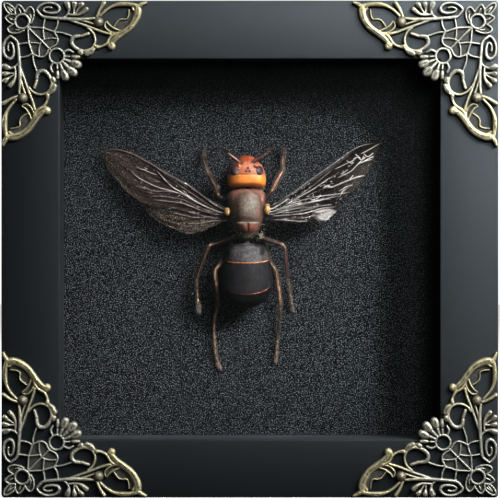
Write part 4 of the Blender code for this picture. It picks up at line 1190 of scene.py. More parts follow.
LEGS = {
    "foreleg_left": [
        (-5.6, 15.0, 4.6, 0.9, 0.0), (-8.0, 15.4, 5.4, 0.8, 0.0), (-9.3, 15.9, 6.0, 0.6, 0.2),
        (-9.8, 17.0, 6.3, 0.66, 0.2), (-10.2, 18.6, 6.3, 0.88, 0.2), (-11.4, 20.9, 5.4, 0.92, 0.2),
        (-12.5, 22.9, 4.2, 0.66, 0.5), (-13.0, 24.0, 3.6, 0.42, 0.9), (-13.5, 25.4, 2.9, 0.4, 0.6),
        (-14.1, 26.9, 2.2, 0.66, 0.0), (-14.3, 28.5, 1.7, 0.72, 0.0), (-14.5, 30.3, 1.3, 0.6, 0.0),
    ],
    "foreleg_right": [
        (4.2, 14.8, 4.6, 1.0, 0.0), (5.6, 16.2, 5.8, 0.95, 0.0), (6.5, 17.6, 6.3, 0.72, 0.0),
        (7.0, 18.3, 6.5, 0.6, 0.6), (7.8, 19.9, 6.4, 0.82, 0.5), (9.1, 22.3, 5.4, 0.88, 0.55),
        (10.1, 24.0, 4.4, 0.62, 0.8), (10.2, 24.9, 3.8, 0.42, 1.0), (10.0, 26.4, 3.0, 0.42, 1.0),
        (10.2, 27.8, 2.3, 0.6, 0.5), (10.3, 29.3, 1.7, 0.66, 0.0), (10.6, 31.0, 1.2, 0.55, 0.0),
    ],
    "midleg_left": [
        (-4.6, 3.7, 4.0, 0.85, 0.0), (-7.6, 2.7, 4.6, 0.9, 0.0), (-10.4, 1.7, 5.2, 0.68, 0.1),
        (-11.8, 1.4, 5.5, 0.62, 0.6), (-12.7, 0.6, 5.3, 0.5, 0.4), (-13.6, -1.6, 4.7, 0.52, 0.15),
        (-14.6, -4.2, 3.9, 0.6, 0.15), (-15.9, -7.8, 2.8, 0.6, 0.1), (-16.3, -9.6, 3.6, 0.4, 0.2),
        (-16.2, -12.0, 4.4, 0.38, 0.5), (-16.0, -14.6, 4.8, 0.38, 0.7), (-15.9, -17.0, 4.8, 0.4, 0.9),
        (-15.5, -18.6, 4.5, 0.28, 0.6),
    ],
    "midleg_right": [
        (3.4, 3.5, 4.0, 0.85, 0.0), (6.1, 2.7, 4.6, 0.9, 0.15), (8.7, 1.8, 5.2, 0.68, 0.3),
        (10.0, 1.4, 5.5, 0.62, 0.5), (10.7, 0.4, 5.3, 0.5, 0.3), (11.0, -1.8, 4.7, 0.52, 0.1),
        (11.2, -4.6, 3.9, 0.6, 0.0), (11.4, -7.6, 2.9, 0.58, 0.15), (11.7, -9.0, 2.5, 0.4, 0.3),
        (12.1, -11.8, 1.8, 0.38, 0.4), (12.6, -15.0, 1.3, 0.4, 0.45), (13.0, -17.4, 1.0, 0.38, 0.5),
        (13.2, -18.7, 0.8, 0.28, 0.4),
    ],
    "hindleg_left": [
        (-5.2, 2.4, 2.3, 0.8, 0.0), (-7.2, -1.2, 4.4, 0.85, 0.1), (-9.0, -4.3, 8.2, 0.72, 0.3),
        (-10.1, -5.7, 9.6, 0.6, 0.7), (-10.6, -7.0, 9.9, 0.55, 0.6), (-10.6, -9.0, 9.4, 0.68, 0.9),
        (-10.1, -12.5, 7.4, 0.84, 1.0), (-9.7, -16.6, 4.6, 0.8, 1.0), (-10.0, -18.2, 3.6, 0.48, 0.8),
        (-10.8, -21.0, 2.6, 0.46, 1.0), (-11.0, -25.0, 1.8, 0.42, 1.0), (-10.8, -27.6, 1.4, 0.34, 0.7),
        (-10.7, -30.4, 1.2, 0.38, 0.45), (-10.4, -32.6, 1.0, 0.42, 0.4), (-10.0, -34.6, 0.85, 0.4, 0.45),
        (-9.4, -36.0, 0.8, 0.28, 0.5),
    ],
    "hindleg_right": [
        (3.8, 2.4, 2.3, 0.8, 0.0), (5.3, -1.3, 2.2, 0.85, 0.1), (6.5, -4.3, 3.1, 0.72, 0.3),
        (7.5, -5.7, 3.8, 0.6, 0.7), (8.1, -7.0, 4.1, 0.55, 0.5), (8.4, -9.0, 4.0, 0.68, 0.5),
        (8.9, -12.5, 3.5, 0.84, 0.42), (9.4, -16.6, 2.9, 0.8, 0.4), (9.4, -18.2, 2.6, 0.5, 0.1),
        (9.1, -21.4, 2.2, 0.5, 0.0), (8.8, -25.0, 1.8, 0.46, 0.0), (8.6, -27.4, 1.5, 0.34, 0.15),
        (8.4, -29.0, 1.3, 0.38, 0.5), (8.3, -31.0, 1.1, 0.42, 0.55), (8.1, -33.0, 0.9, 0.42, 0.45),
        (8.0, -34.0, 0.8, 0.28, 0.4),
    ],
}
ROSE = {  # how rosy a limb's upper part is; the others have OTHER_ROSE
    "antenna_left": 1.0, "antenna_right": 0.55, "foreleg_left": 0.6, "foreleg_right": 0.75, "midleg_right": 0.5,
}
OTHER_ROSE = 0.25
SCAPE_STATION = 2  # where an antenna's first long joint ends
KNEE_STATION, FOOT_STATION = 3, 8  # where a leg's knee is, and where its foot's own joints start
ANTENNA_STEPS, ANTENNA_SIDES = 14, 12
SEGMENT_STEPS = 7  # from one narrow joint of an antenna to the next
LEG_STEPS, LEG_SIDES = 12, 14
CLAW = ((0, 0.1, 0), (0.45, 0.42, 0.05), (0.85, 0.5, 0.2), (1.1, 0.35, 0.4))  # ahead, aside, down
SPUR = ((0, 0), (0.6, 0.5), (1.5, 0.75))  # ahead, aside
BRISTLES_PER_LEG = 420
FOOT_HAIRS = {  # tint, how far from the foot's end they start, their length and how many they are
    "hindleg_left": ("rosy", 2.2, 1.9, 60), "hindleg_right": ("rosy", 2.4, 1.9, 60),
    "midleg_left": ("white", 3.6, 1.9, 150), "midleg_right": ("white", 4.6, 1.0, 90),
}


def per_corner(values, sides, poles=(0, 0)):
    """A value for each corner of a tube: one for each ring, and one for each pole."""
    return np.append(np.repeat(values, sides), poles)


def lit_side_mark(points, path, sides):
    """1 on the side of a tube that faces the glass, 0 on its flanks and underside: where the limb's highlight
    and shade are painted.
    """
    centres = np.repeat(place(*path.T[:3]), sides, axis=0)
    out = points[:len(centres)] - centres
    share = np.clip(-out[:, 1] / np.linalg.norm(out, axis=1), 0, 1) ** 4
    return np.append(share, [0, 0])


def knee_mark(at):
    """1 at the pale ends of the leg's joints."""
    return 0.9 * hump(at, KNEE_STATION, 0.3) + 0.55 * hump(at, FOOT_STATION, 0.25)


def build_antenna(name, stations, finish):
    path = smooth_path(stations, ANTENNA_STEPS)
    at = np.arange(len(path))
    scape_end = ANTENNA_STEPS * SCAPE_STATION
    joints = 1 + 0.09 * np.abs(np.sin(np.pi * at / SEGMENT_STEPS))
    radii = path[:, 3] * SPECIMEN_UNIT
    points, faces = tube(place(*path.T[:3]), np.where(at > scape_end, radii * joints, radii), ANTENNA_SIDES)
    stock = Stock().add(
        points, faces,
        amber=per_corner(path[:, 4], ANTENNA_SIDES, path[[0, -1], 4]),
        rose=per_corner(ROSE[name] * (at <= scape_end), ANTENNA_SIDES),
        crown=lit_side_mark(points, path, ANTENNA_SIDES),
    )
    stock.piece(name + "_jointed", finish, "legs", [name])


def build_leg(name, stations, finish):
    path = smooth_path(stations, LEG_STEPS)
    at = np.arange(len(path)) / LEG_STEPS
    foot = at >= FOOT_STATION
    radii, amber = path[:, 3].copy(), path[:, 4].copy()
    radii[foot] *= 0.9 + 0.45 * ((at[foot] - FOOT_STATION) % 1.0) ** 1.5
    radii *= 1 + 0.12 * sum(hump(at, knee, 0.18) for knee in (KNEE_STATION - 0.4, FOOT_STATION - 0.3))
    amber[foot] *= 0.35 + 0.9 * np.abs(np.sin(np.pi * (at[foot] - FOOT_STATION)))
    points, faces = tube(place(*path.T[:3]), radii * SPECIMEN_UNIT, LEG_SIDES)
    stock = Stock().add(
        points, faces,
        amber=per_corner(np.maximum(amber, knee_mark(at)), LEG_SIDES, path[[0, -1], 4]),
        rose=per_corner(ROSE.get(name, OTHER_ROSE) * hump(at, 4.6, 1.6), LEG_SIDES),
        crown=lit_side_mark(points, path, LEG_SIDES),
    )
    end, spur_root = path[-1, :3], path[int((FOOT_STATION - 0.15) * LEG_STEPS), :3]
    along = end - path[-6, :3]
    along /= np.linalg.norm(along)
    across = np.array([along[1], -along[0], 0])
    for side in (-1, 1):
        claw = [end + along * a + across * side * b - np.array([0, 0, c]) for a, b, c in CLAW]
        spur = [spur_root + across * side * b + along * a for a, b in SPUR]
        taper(stock, smooth_path(claw, 4), 0.13, 0.04, 6, amber=0.1)
        taper(stock, smooth_path(spur, 4), 0.14, 0.03, 6, amber=0.7)
    stock.piece(name + "_jointed", finish, "legs", [name])


def build_bristles(finish, rng):
    """Short bristles all over the legs, closer together on the feet of the middle and hind legs."""
    stock = Stock()
    count = BRISTLES_PER_LEG
    for k, (name, stations) in enumerate(LEGS.items()):
        path = smooth_path(stations, LEG_STEPS)
        last = len(stations) - 1.02
        at = rng.uniform(KNEE_STATION, last, count)
        on_foot = 0.0 if name.startswith("foreleg") else 0.45
        at = np.where(rng.random(count) < on_foot, rng.uniform(FOOT_STATION, last, count), at) * LEG_STEPS
        steps = np.arange(len(path))
        spots, ahead = (
            np.array([np.interp(where, steps, column) for column in path.T[:4]]).T for where in (at, at + 2)
        )
        along = ahead[:, :3] - spots[:, :3]
        along /= np.linalg.norm(along, axis=1)[:, None] + 1e-9
        out = rng.normal(size=(count, 3))
        out -= along * (out * along).sum(1)[:, None]
        out /= np.linalg.norm(out, axis=1)[:, None]
        out[:, 2] = np.abs(out[:, 2])
        root = spots[:, :3] + out * spots[:, 3:] * 0.92
        roots = place(*root.T)
        ways = place(*(root + (out * 0.8 + along * 0.9)).T) - roots
        lengths = rng.uniform(0.35, 0.95, count) * SPECIMEN_UNIT
        stock.add(*hairs(roots, ways, lengths, 0.034 * MM, 0.15, 20 + k))
    stock.piece("leg_bristles", finish, "legs")


def build_foot_hairs(rng):
    """Longer hairs that point along the feet of the middle and hind legs."""
    tints = {
        "rosy": hair("rosy foot hairs", (0.40, 0.16, 0.13), (0.80, 0.52, 0.44)),
        "white": hair("white foot hairs", (0.55, 0.50, 0.44), (0.90, 0.86, 0.80)),
    }
    for name, (tint, reach, length, count) in FOOT_HAIRS.items():
        path = smooth_path(LEGS[name], LEG_STEPS)
        end = path[-1, :3]
        near = np.flatnonzero(np.linalg.norm(path[:, :3] - end, axis=1) < reach)
        at = rng.choice(near, count)
        along = end - path[near[0], :3]
        along /= np.linalg.norm(along)
        out = rng.normal(size=(count, 3)) * (0.3, 0.15, 0.15)
        out[:, 2] = np.abs(out[:, 2])
        root = path[at, :3] + out * path[at, 3:4]
        roots = place(*root.T)
        ways = place(*(root + (along + out)).T) - roots
        lengths = length * rng.uniform(0.5, 1.0, count) * SPECIMEN_UNIT
        stock = Stock().add(*hairs(roots, ways, lengths, 0.085 * MM, 0.06, 60))
        stock.piece(name + "_foot_hairs", tints[tint], "legs")


def build_limbs(limb_finish, bristle_finish):
    for name, stations in ANTENNAE.items():
        build_antenna(name, stations, limb_finish)
    for name, stations in LEGS.items():
        build_leg(name, stations, limb_finish)
    rng = np.random.default_rng(11)
    build_bristles(bristle_finish, rng)
    build_foot_hairs(rng)


THORAX_BACK = [
    (-1.2, 18.3), (-3.0, 17.9), (-4.2, 16.7), (-4.85, 15.5), (-5.15, 13.2), (-5.0, 10.9), (-4.7, 9.7),
    (-4.0, 8.85), (-0.8, 8.75), (2.6, 8.85), (3.2, 9.7), (3.5, 10.9), (3.5, 13.2), (3.05, 15.5), (2.1, 16.7),
    (0.7, 17.9),
]
THORAX_REAR = [
    (-3.6, 5.1), (-3.0, 4.5), (-2.0, 4.1), (-0.6, 3.95), (0.8, 4.1), (1.8, 4.5), (2.4, 5.1), (-0.6, 4.8),
]
# Outlines of one side, as how far from the middle line, z
SHIELD_MIDDLE = -0.62
SHIELD_LOBE = (
    (-0.14, 8.4), (2.2, 8.45), (3.8, 8.35), (3.95, 7.6), (3.55, 6.6), (2.6, 5.65), (1.3, 5.15), (-0.14, 5.05),
)
SHOULDER = (
    (0.7, 18.7), (2.9, 18.3), (4.3, 17.5), (5.3, 16.4), (5.7, 15.0), (5.6, 13.4), (5.0, 13.0), (4.55, 14.9),
    (3.6, 16.6), (2.5, 17.8), (0.7, 18.45),
)
FLANK = ((4.7, 11.8), (5.2, 11.3), (5.1, 10.0), (4.8, 8.5), (4.4, 7.6), (4.3, 8.9), (4.5, 10.3))
# x, z, h, radius
WAIST = ((-0.8, 4.2, 5.4, 1.7), (-0.9, 3.0, 5.0, 0.8), (-1.0, 2.2, 4.9, 0.75), (-1.0, 1.2, 5.4, 1.6))
NECK = ((-0.9, 19.6, 6.2, 1.9), (-0.9, 18.6, 6.1, 1.7), (-0.8, 17.2, 6.0, 2.4))
WING_CAPS = (  # centre, radii
    ((-6.87, 11.4, 9.9), (0.95, 1.3, 0.95)), ((5.33, 11.9, 9.9), (0.95, 1.3, 0.95)),
    ((5.3, 13.35, 9.3), (0.85, 0.5, 0.6)),
)


def back_bloom_and_highlight(x, z):
    """The pale patch on the back, split by a fine dark line, with a painted highlight right of the middle."""
    middle = hump(x, 0.4, 2.5) * hump(z, 13.4, 3.6)
    rim = step(np.hypot((x + 0.75) / 4.75, (z - 12.9) / 5.5), 0.86, 1.02)
    # light: a painted highlight right of the middle
    light = 0.3 * hump(x, 0.9, 0.9) * hump(z, 14.0, 3.0)
    return np.clip((0.3 + 0.5 * middle + light) * (1 - 0.85 * rim) - 0.12 * hump(x, -0.85, 0.12), 0, 1)


def back_red(x, z):
    return 0.1 + 0.6 * hump(x, 3.0, 0.7) * hump(z, 11.0, 2.5) + 0.3 * hump(z, 17.6, 0.9)


def shield_red(x, z):
    """The shield's two lobes are red, less so at their outer and rear edges."""
    middle = (0.75 + 0.3 * step(x, -0.7, 0.5)) * (1 - 0.7 * step(np.abs(x - SHIELD_MIDDLE), 2.6, 3.9))
    return middle - 0.25 * (1 - step(z, 5.2, 6.0))


# The shield's upper edge is painted pale, as a highlight.
def shield_edge_highlight(x, z):
    return 0.85 * step(z, 7.35, 7.7) + 0.08


def build_thorax():
    stock = Stock()
    middle = THORAX.middle_x
    shell(stock, THORAX, 70, 84, red=lambda x, z: 0.6 * step(z, 13, 16) + 0.1, bloom=0.12)
    plate(stock, THORAX, THORAX_BACK, 0.75, 30, 128, 0.35, red=back_red, bloom=back_bloom_and_highlight)
    for side in (-1, 1):
        lobe = mirrored(SHIELD_MIDDLE, side, SHIELD_LOBE)
        plate(stock, THORAX, lobe, 0.75, 18, 80, 0.35, red=shield_red, bloom=shield_edge_highlight)
        plate(stock, THORAX, mirrored(middle, side, SHOULDER), 0.5, 12, 88, red=0.75, bloom=0.38)
        plate(stock, THORAX, mirrored(middle, side, FLANK), 0.3, 8, 48, red=0.3, bloom=0.2)
    plate(stock, THORAX, THORAX_REAR, 0.4, 10, 56, red=0.2, bloom=0.3)
    for stations, red in ((WAIST, 0.0), (NECK, 0.1)):
        x, z, h, radii = np.array(stations).T
        stock.add(*tube(place(x, z, h), radii * SPECIMEN_UNIT, 16), red=red)
    stock.piece("thorax_shells", thorax_shell(), "brown_shell", ["thorax"])
    caps = Stock()
    for centre, radii in WING_CAPS:
        caps.add(*ball(centre, radii))
    caps.piece("wing_caps", wing_cap_shell(), "orange_shell")


def abdomen_bow(zs):
    """How far the rings' edges hang towards the tail in the middle of the back."""
    return -np.interp(-zs, [-1.7, 0.5, 3.3, 6, 9.7, 12, 15, 17.8], [0.0, 0.3, 0.95, 1.9, 4.1, 3.9, 2.2, 0.0])


RING_EDGES = ((-3.35, 0.022), (-9.7, 0.03), (-12.4, 0.03), (-14.6, 0.04), (-16.0, 0.05))  # z, share of swell
ABDOMEN_ROWS, ABDOMEN_SIDES = 420, 96
# Painted shade: dark spots at the front corners of the first ring.
SHADE_SPOTS = (  # x, z, height for one of width, width
    (-6.7, -0.9, 1.6, 0.75), (-6.0, 0.8, 1.0, 0.8), (3.6, -0.9, 1.2, 0.7), (4.3, 0.4, 1.0, 0.9),
    (2.6, 1.2, 0.6, 0.9),
)


def abdomen_shape(x, z, h):
    """Each ring of the abdomen overlaps the next by a small step."""
    zs = ABDOMEN.stations(len(x))[:, None]
    swell = np.zeros_like(zs)
    for edge, high in RING_EDGES:
        swell = swell + high * step(zs, edge - 0.02, edge + 0.05) * (1 - step(zs, edge + 0.05, edge + 2.2))
    return (h - ABDOMEN.ring(zs)[1]) * swell, swell


def build_abdomen():
    """The marks follow zs, the row's z before the bow, so that they hang with the rings' edges."""
    stock = Stock()
    zs = ABDOMEN.stations(ABDOMEN_ROWS)[:, None]

    def rim(x, z):
        broken = 1 - 0.45 * (1 - step(x, -7.2, -5.6)) - 0.3 * hump(x, -3.2, 0.5)
        first = 0.95 * hump(zs, -3.22, 0.18) * broken
        second = 0.66 * hump(zs, -9.62, 0.2) * (0.8 + 0.35 * step(x, -1, 3) * (1 - step(x, 5.5, 6.5)))
        return first + second

    def pale(x, z):
        ring = step(zs, -3.5, -3.25)
        # grey dusting on the first ring, brighter right of the middle as a painted highlight
        first = ring * (0.42 + 0.4 * hump(x, 0.6, 3.0) - 0.3 * step(zs, 0.6, 1.3))
        spots = sum(hump(np.hypot(x - sx, (z - sz) / tall), 0, wide) for sx, sz, tall, wide in SHADE_SPOTS)
        # sheen: a painted highlight on the second ring
        sheen = 0.1 * hump(np.hypot((x - 0.4) / 5.6, (zs + 6.3) / 3.6), 0, 1.0)
        return np.clip(first - 0.8 * spots, 0, 1) + sheen * (1 - ring)

    def tail(x, z):
        return 1 - step(zs, -10.1, -9.8)

    shell(
        stock, ABDOMEN, ABDOMEN_ROWS, ABDOMEN_SIDES, abdomen_shape, abdomen_bow, rim=rim, pale=pale, tail=tail
    )
    stock.piece("abdomen_rings", abdomen_shell(), "black_shell", ["abdomen"])


# Each wing is drawn between its leading and its trailing edge, from the root to the tip.
#   heights: h at the root and at the tip. wave: how deep its folds are.
#   turn: the way its grain runs, in radians. haze_and_sheen: how far its film is lightened and dulled, a
#       painted highlight. thin: where it turns clear.
#   crinkle: how strong its fine relief is. crackle: how wide the fine pale net in it is.
#   fore band: share of the width and of the length of the ribbed strip at its leading edge.
#   line: how broad and how bright the painted highlights along the creases are. patch: centre, reach and
#       paleness of a painted highlight.
#   creases: lift, half width, paleness of its painted highlight and points of each.
WINGS = {
    "forewing_left": {
        "leading": [(-6.4, 12.5), (-8.6, 13.3), (-13.1, 15.7), (-18.6, 19.7), (-24.2, 22.9), (-28.7, 25.8),
                    (-32.0, 27.7),
                    (-36.1, 29.8), (-40.9, 30.9), (-44.7, 30.5), (-46.2, 29.6)],
        "trailing": [(-6.2, 9.9), (-9.0, 10.2), (-14.9, 10.5), (-22.3, 11.9), (-28.3, 13.2), (-32.8, 14.2),
                     (-36.5, 16.7),
                     (-39.5, 19.6), (-42.8, 23.7), (-45.0, 27.0), (-46.2, 29.3)],
        "heights": (9.0, 3.0), "turn": 0.42, "haze_and_sheen": 0.38, "crackle": 0.34, "crinkle": 0.8,
        "fore band": (0.13, 0.5), "line": (1.05, 0.9), "wave": 0.1,
        "thin": lambda along, across: (
            step(along, 0.55, 0.85) * (0.4 + 0.6 * across)
            + 0.5 * step(across, 0.8, 1.0) * step(along, 0.2, 0.6)
        ),
        "creases": [
            (0.34, 0.22, 0.55, [(-8.6, 12.7), (-13.1, 15.1), (-18.6, 19.2), (-24.2, 22.2), (-28.7, 25.1),
                                (-32.0, 27.0), (-36.1, 29.2), (-40.9, 30.5), (-44.1, 30.2)]),
            (0.22, 0.16, 0.5, [(-9.3, 11.9), (-13.4, 14.0), (-18.6, 17.5), (-23.1, 20.7), (-26.1, 22.9),
                               (-28.3, 24.6)]),
            (0.42, 0.17, 1.0, [(-10.1, 11.2), (-16.4, 14.5), (-19.7, 16.6), (-23.1, 18.6), (-25.3, 20.5),
                               (-28.7, 24.2)]),
            (0.42, 0.17, 1.0, [(-36.7, 24.2), (-34.6, 22.2), (-31.3, 20.3), (-27.9, 18.8), (-24.6, 17.9),
                               (-20.5, 16.6), (-16.8, 14.5), (-12.7, 12.7)]),
            (0.36, 0.16, 0.9, [(-35.2, 25.1), (-32.4, 24.2), (-29.8, 23.1), (-28.3, 22.7)]),
            (0.3, 0.15, 0.6, [(-35.2, 19.2), (-32.0, 18.5), (-29.0, 17.7), (-26.1, 17.7), (-22.7, 17.2)]),
            (0.36, 0.16, 0.75, [(-29.8, 15.1), (-24.2, 14.5), (-20.5, 14.0), (-14.9, 11.8), (-8.6, 9.9)]),
            (0.28, 0.15, 0.6, [(-31.3, 16.2), (-26.1, 16.0), (-20.5, 15.1), (-16.4, 13.2), (-10.4, 10.9)]),
            (0.24, 0.14, 0.4, [(-44.0, 29.6), (-40.0, 28.2), (-36.0, 26.2)]),
            (0.4, 0.2, 0.8, [(-6.6, 11.9), (-8.4, 12.3), (-10.6, 13.4), (-13.0, 15.0)]),
            (0.4, 0.2, 0.7, [(-6.6, 10.9), (-9.0, 11.2), (-12.2, 12.5)]),
            (0.3, 0.16, 0.5, [(-6.6, 10.3), (-9.4, 10.5), (-13.0, 11.2)]),
        ],
    },
    "hindwing_left": {
        "leading": [(-6.1, 9.6), (-9.0, 10.2), (-14.9, 11.6), (-22.3, 13.1), (-29.8, 14.2), (-32.3, 14.0)],
        "trailing": [(-6.1, 8.5), (-8.2, 8.1), (-11.2, 6.9), (-14.9, 5.3), (-18.6, 4.7), (-21.2, 5.4),
                     (-26.1, 7.3),
                     (-29.0, 9.2), (-32.0, 12.1), (-32.5, 13.6)],
        "heights": (8.7, 4.7), "turn": 0.15, "haze_and_sheen": 0.4, "crackle": 0.36, "crinkle": 0.75,
        "fore band": (0.001, 0.1), "line": (1.1, 0.65), "wave": 0.04,
        "thin": lambda along, across: np.maximum(
            0.8 * step(along, 0.3, 0.7), 0.9 * step(across, 0.3, 0.6) * step(along, 0.05, 0.3)
        ),
        "creases": [
            (0.38, 0.16, 0.9, [(-29.8, 14.0), (-25.3, 13.2), (-20.5, 11.8), (-14.9, 10.3), (-9.0, 9.2)]),
            (0.32, 0.15, 0.7, [(-24.6, 11.4), (-18.6, 9.9), (-13.1, 9.5), (-8.6, 9.1)]),
            (0.34, 0.16, 0.9, [(-19.4, 7.7), (-14.9, 7.9), (-11.2, 8.6), (-8.4, 8.5)]),
            (0.2, 0.14, 0.4, [(-27.5, 10.6), (-22.0, 9.2), (-17.0, 8.7)]),
        ],
    },
    "forewing_right": {
        "leading": [(5.0, 12.8), (7.0, 13.6), (10.4, 15.6), (13.9, 17.9), (19.0, 21.8), (24.1, 25.4),
                    (28.2, 28.4), (30.7, 30.2),
                    (34.3, 32.0), (37.6, 32.8), (40.3, 32.7)],
        "trailing": [(4.8, 10.0), (7.2, 10.5), (13.9, 11.9), (19.0, 12.7), (25.6, 13.6), (29.2, 16.3),
                     (31.7, 18.1),
                     (35.2, 22.1), (36.3, 24.2), (38.1, 28.2), (40.2, 32.2)],
        "heights": (9.2, 8.0), "turn": -0.55, "haze_and_sheen": 0.0, "crackle": 0.2, "crinkle": 1.25,
        "fore band": (0.14, 0.7), "line": (0.98, 0.92), "wave": 0.16,
        "thin": lambda along, across: step(along, 0.45, 0.7) * step(across, 0.45, 0.75),
        "creases": [
            (0.3, 0.22, 0.55, [(7.8, 14.0), (13.9, 17.7), (19.0, 21.5), (24.1, 25.0), (28.2, 28.0),
                               (30.7, 29.8), (34.3, 31.6), (39.4, 32.5)]),
            (0.26, 0.16, 0.55, [(9.8, 13.3), (14.8, 16.2), (18.8, 19.0), (22.4, 22.0), (26.0, 25.0)]),
            (0.44, 0.17, 0.9, [(8.0, 11.6), (14.4, 15.5), (19.0, 18.1), (23.1, 20.9), (25.4, 22.4)]),
            (0.46, 0.17, 1.0, [(26.6, 21.6), (30.7, 23.7), (33.5, 26.2), (37.8, 27.6)]),
            (0.6, 0.2, 1.2, [(22.4, 18.6), (24.6, 18.8), (26.1, 19.3), (29.2, 20.6), (32.5, 21.9),
                             (35.0, 22.5)]),
            (0.42, 0.17, 0.9, [(8.0, 11.2), (11.4, 13.5), (18.2, 15.5), (22.8, 16.3), (27.7, 16.9),
                               (30.6, 17.4)]),
            (0.36, 0.16, 0.8, [(9.2, 11.2), (15.2, 12.7), (19.0, 14.0), (23.1, 15.3), (27.7, 16.3)]),
            (0.34, 0.15, 0.8, [(13.9, 12.2), (20.3, 13.0), (25.4, 13.7)]),
            (0.34, 0.16, 0.8, [(25.6, 24.2), (28.7, 25.7), (32.5, 27.5)]),
            (0.4, 0.16, 1.1, [(33.8, 29.0), (36.3, 30.3), (39.7, 32.3)]),
            (0.36, 0.16, 0.9, [(32.0, 29.0), (33.0, 28.3), (33.8, 27.5)]),
            (0.42, 0.18, 1.1, [(33.2, 26.2), (34.6, 26.6), (36.0, 27.5), (38.0, 28.4)]),
            (0.45, 0.24, 1.0, [(5.2, 12.0), (7.2, 12.5), (9.6, 13.9), (12.0, 15.6)]),
            (0.45, 0.22, 1.0, [(5.2, 11.2), (7.6, 11.6), (10.4, 12.9)]),
            (0.4, 0.2, 0.8, [(5.2, 10.5), (8.0, 10.8), (12.0, 12.0)]),
            (0.4, 0.16, 1.0, [(30.2, 21.0), (31.6, 22.6)]),
            (0.4, 0.16, 0.9, [(27.0, 17.5), (29.4, 19.0), (31.5, 19.6)]),
            (0.4, 0.16, 0.9, [(20.4, 15.2), (21.6, 16.6)]),
            (0.4, 0.3, 0.9, [(12.6, 12.8), (16.0, 13.4), (19.0, 14.4), (22.0, 15.0), (25.0, 15.2)]),
            (0.36, 0.24, 0.8, [(10.0, 12.4), (13.0, 13.6), (16.0, 14.2)]),
            (0.1, 0.85, 0.6, [(6.5, 11.0), (10.0, 12.0), (15.0, 13.2), (20.0, 14.3), (24.0, 15.2)]),
            (0.45, 0.17, 1.2, [(31.4, 27.3), (32.8, 28.0), (34.0, 27.2), (35.4, 28.2)]),
            (0.45, 0.16, 1.2, [(32.4, 25.4), (34.0, 27.0), (34.8, 28.6)]),
            (0.4, 0.15, 1.1, [(34.6, 29.2), (36.0, 28.2), (37.8, 29.4)]),
            (0.5, 0.26, 1.2, [(22.2, 18.2), (23.2, 19.2), (24.6, 18.9)]),
            (0.4, 0.16, 1.0, [(29.4, 27.0), (30.8, 26.2), (31.8, 26.4)]),
        ],
    },
    "hindwing_right": {
        "leading": [(4.7, 9.8), (7.0, 10.6), (11.4, 11.6), (16.5, 12.3), (20.0, 13.1), (22.6, 13.7),
                    (28.2, 13.6)],
        "trailing": [(4.7, 8.8), (7.0, 8.6), (11.4, 7.9), (15.2, 8.0), (17.6, 8.2), (20.0, 9.2), (22.3, 7.9),
                     (25.6, 10.7), (28.0, 12.9)],
        "heights": (8.9, 7.6), "turn": -0.1, "haze_and_sheen": 0.1, "crackle": 0.2, "crinkle": 1.0,
        "fore band": (0.001, 0.1), "line": (1.15, 1.0), "wave": 0.16,
        "thin": lambda along, across: 0.5 * step(along, 0.75, 1.0),
        "patch": ((23.0, 10.6), (5.2, 2.5), 0.62),
        "creases": [
            (0.42, 0.17, 1.0, [(6.0, 10.0), (11.4, 10.4), (16.5, 10.9), (20.0, 11.9), (22.6, 12.6),
                               (26.0, 12.9)]),
            (0.4, 0.2, 1.2, [(7.0, 8.9), (10.1, 8.9), (13.9, 8.5), (17.4, 8.5)]),
            (0.26, 0.15, 0.6, [(8.0, 9.4), (12.5, 9.4), (17.0, 9.6), (20.0, 10.4)]),
            (0.3, 0.15, 0.7, [(9.0, 10.8), (13.0, 11.3), (17.5, 12.0), (21.0, 12.9)]),
            (0.1, 0.8, 0.28, [(6.5, 9.4), (12.0, 9.8), (17.0, 10.3), (20.0, 11.0)]),
        ],
    },
}


def ridged(value, reach):
    """Thin lines where smooth noise crosses its middle, nothing between them."""
    return step(1 - np.abs(2 * value - 1), 1 - reach, 1.0)


SPANS, CHORDS = 260, 130  # points along and across a wing


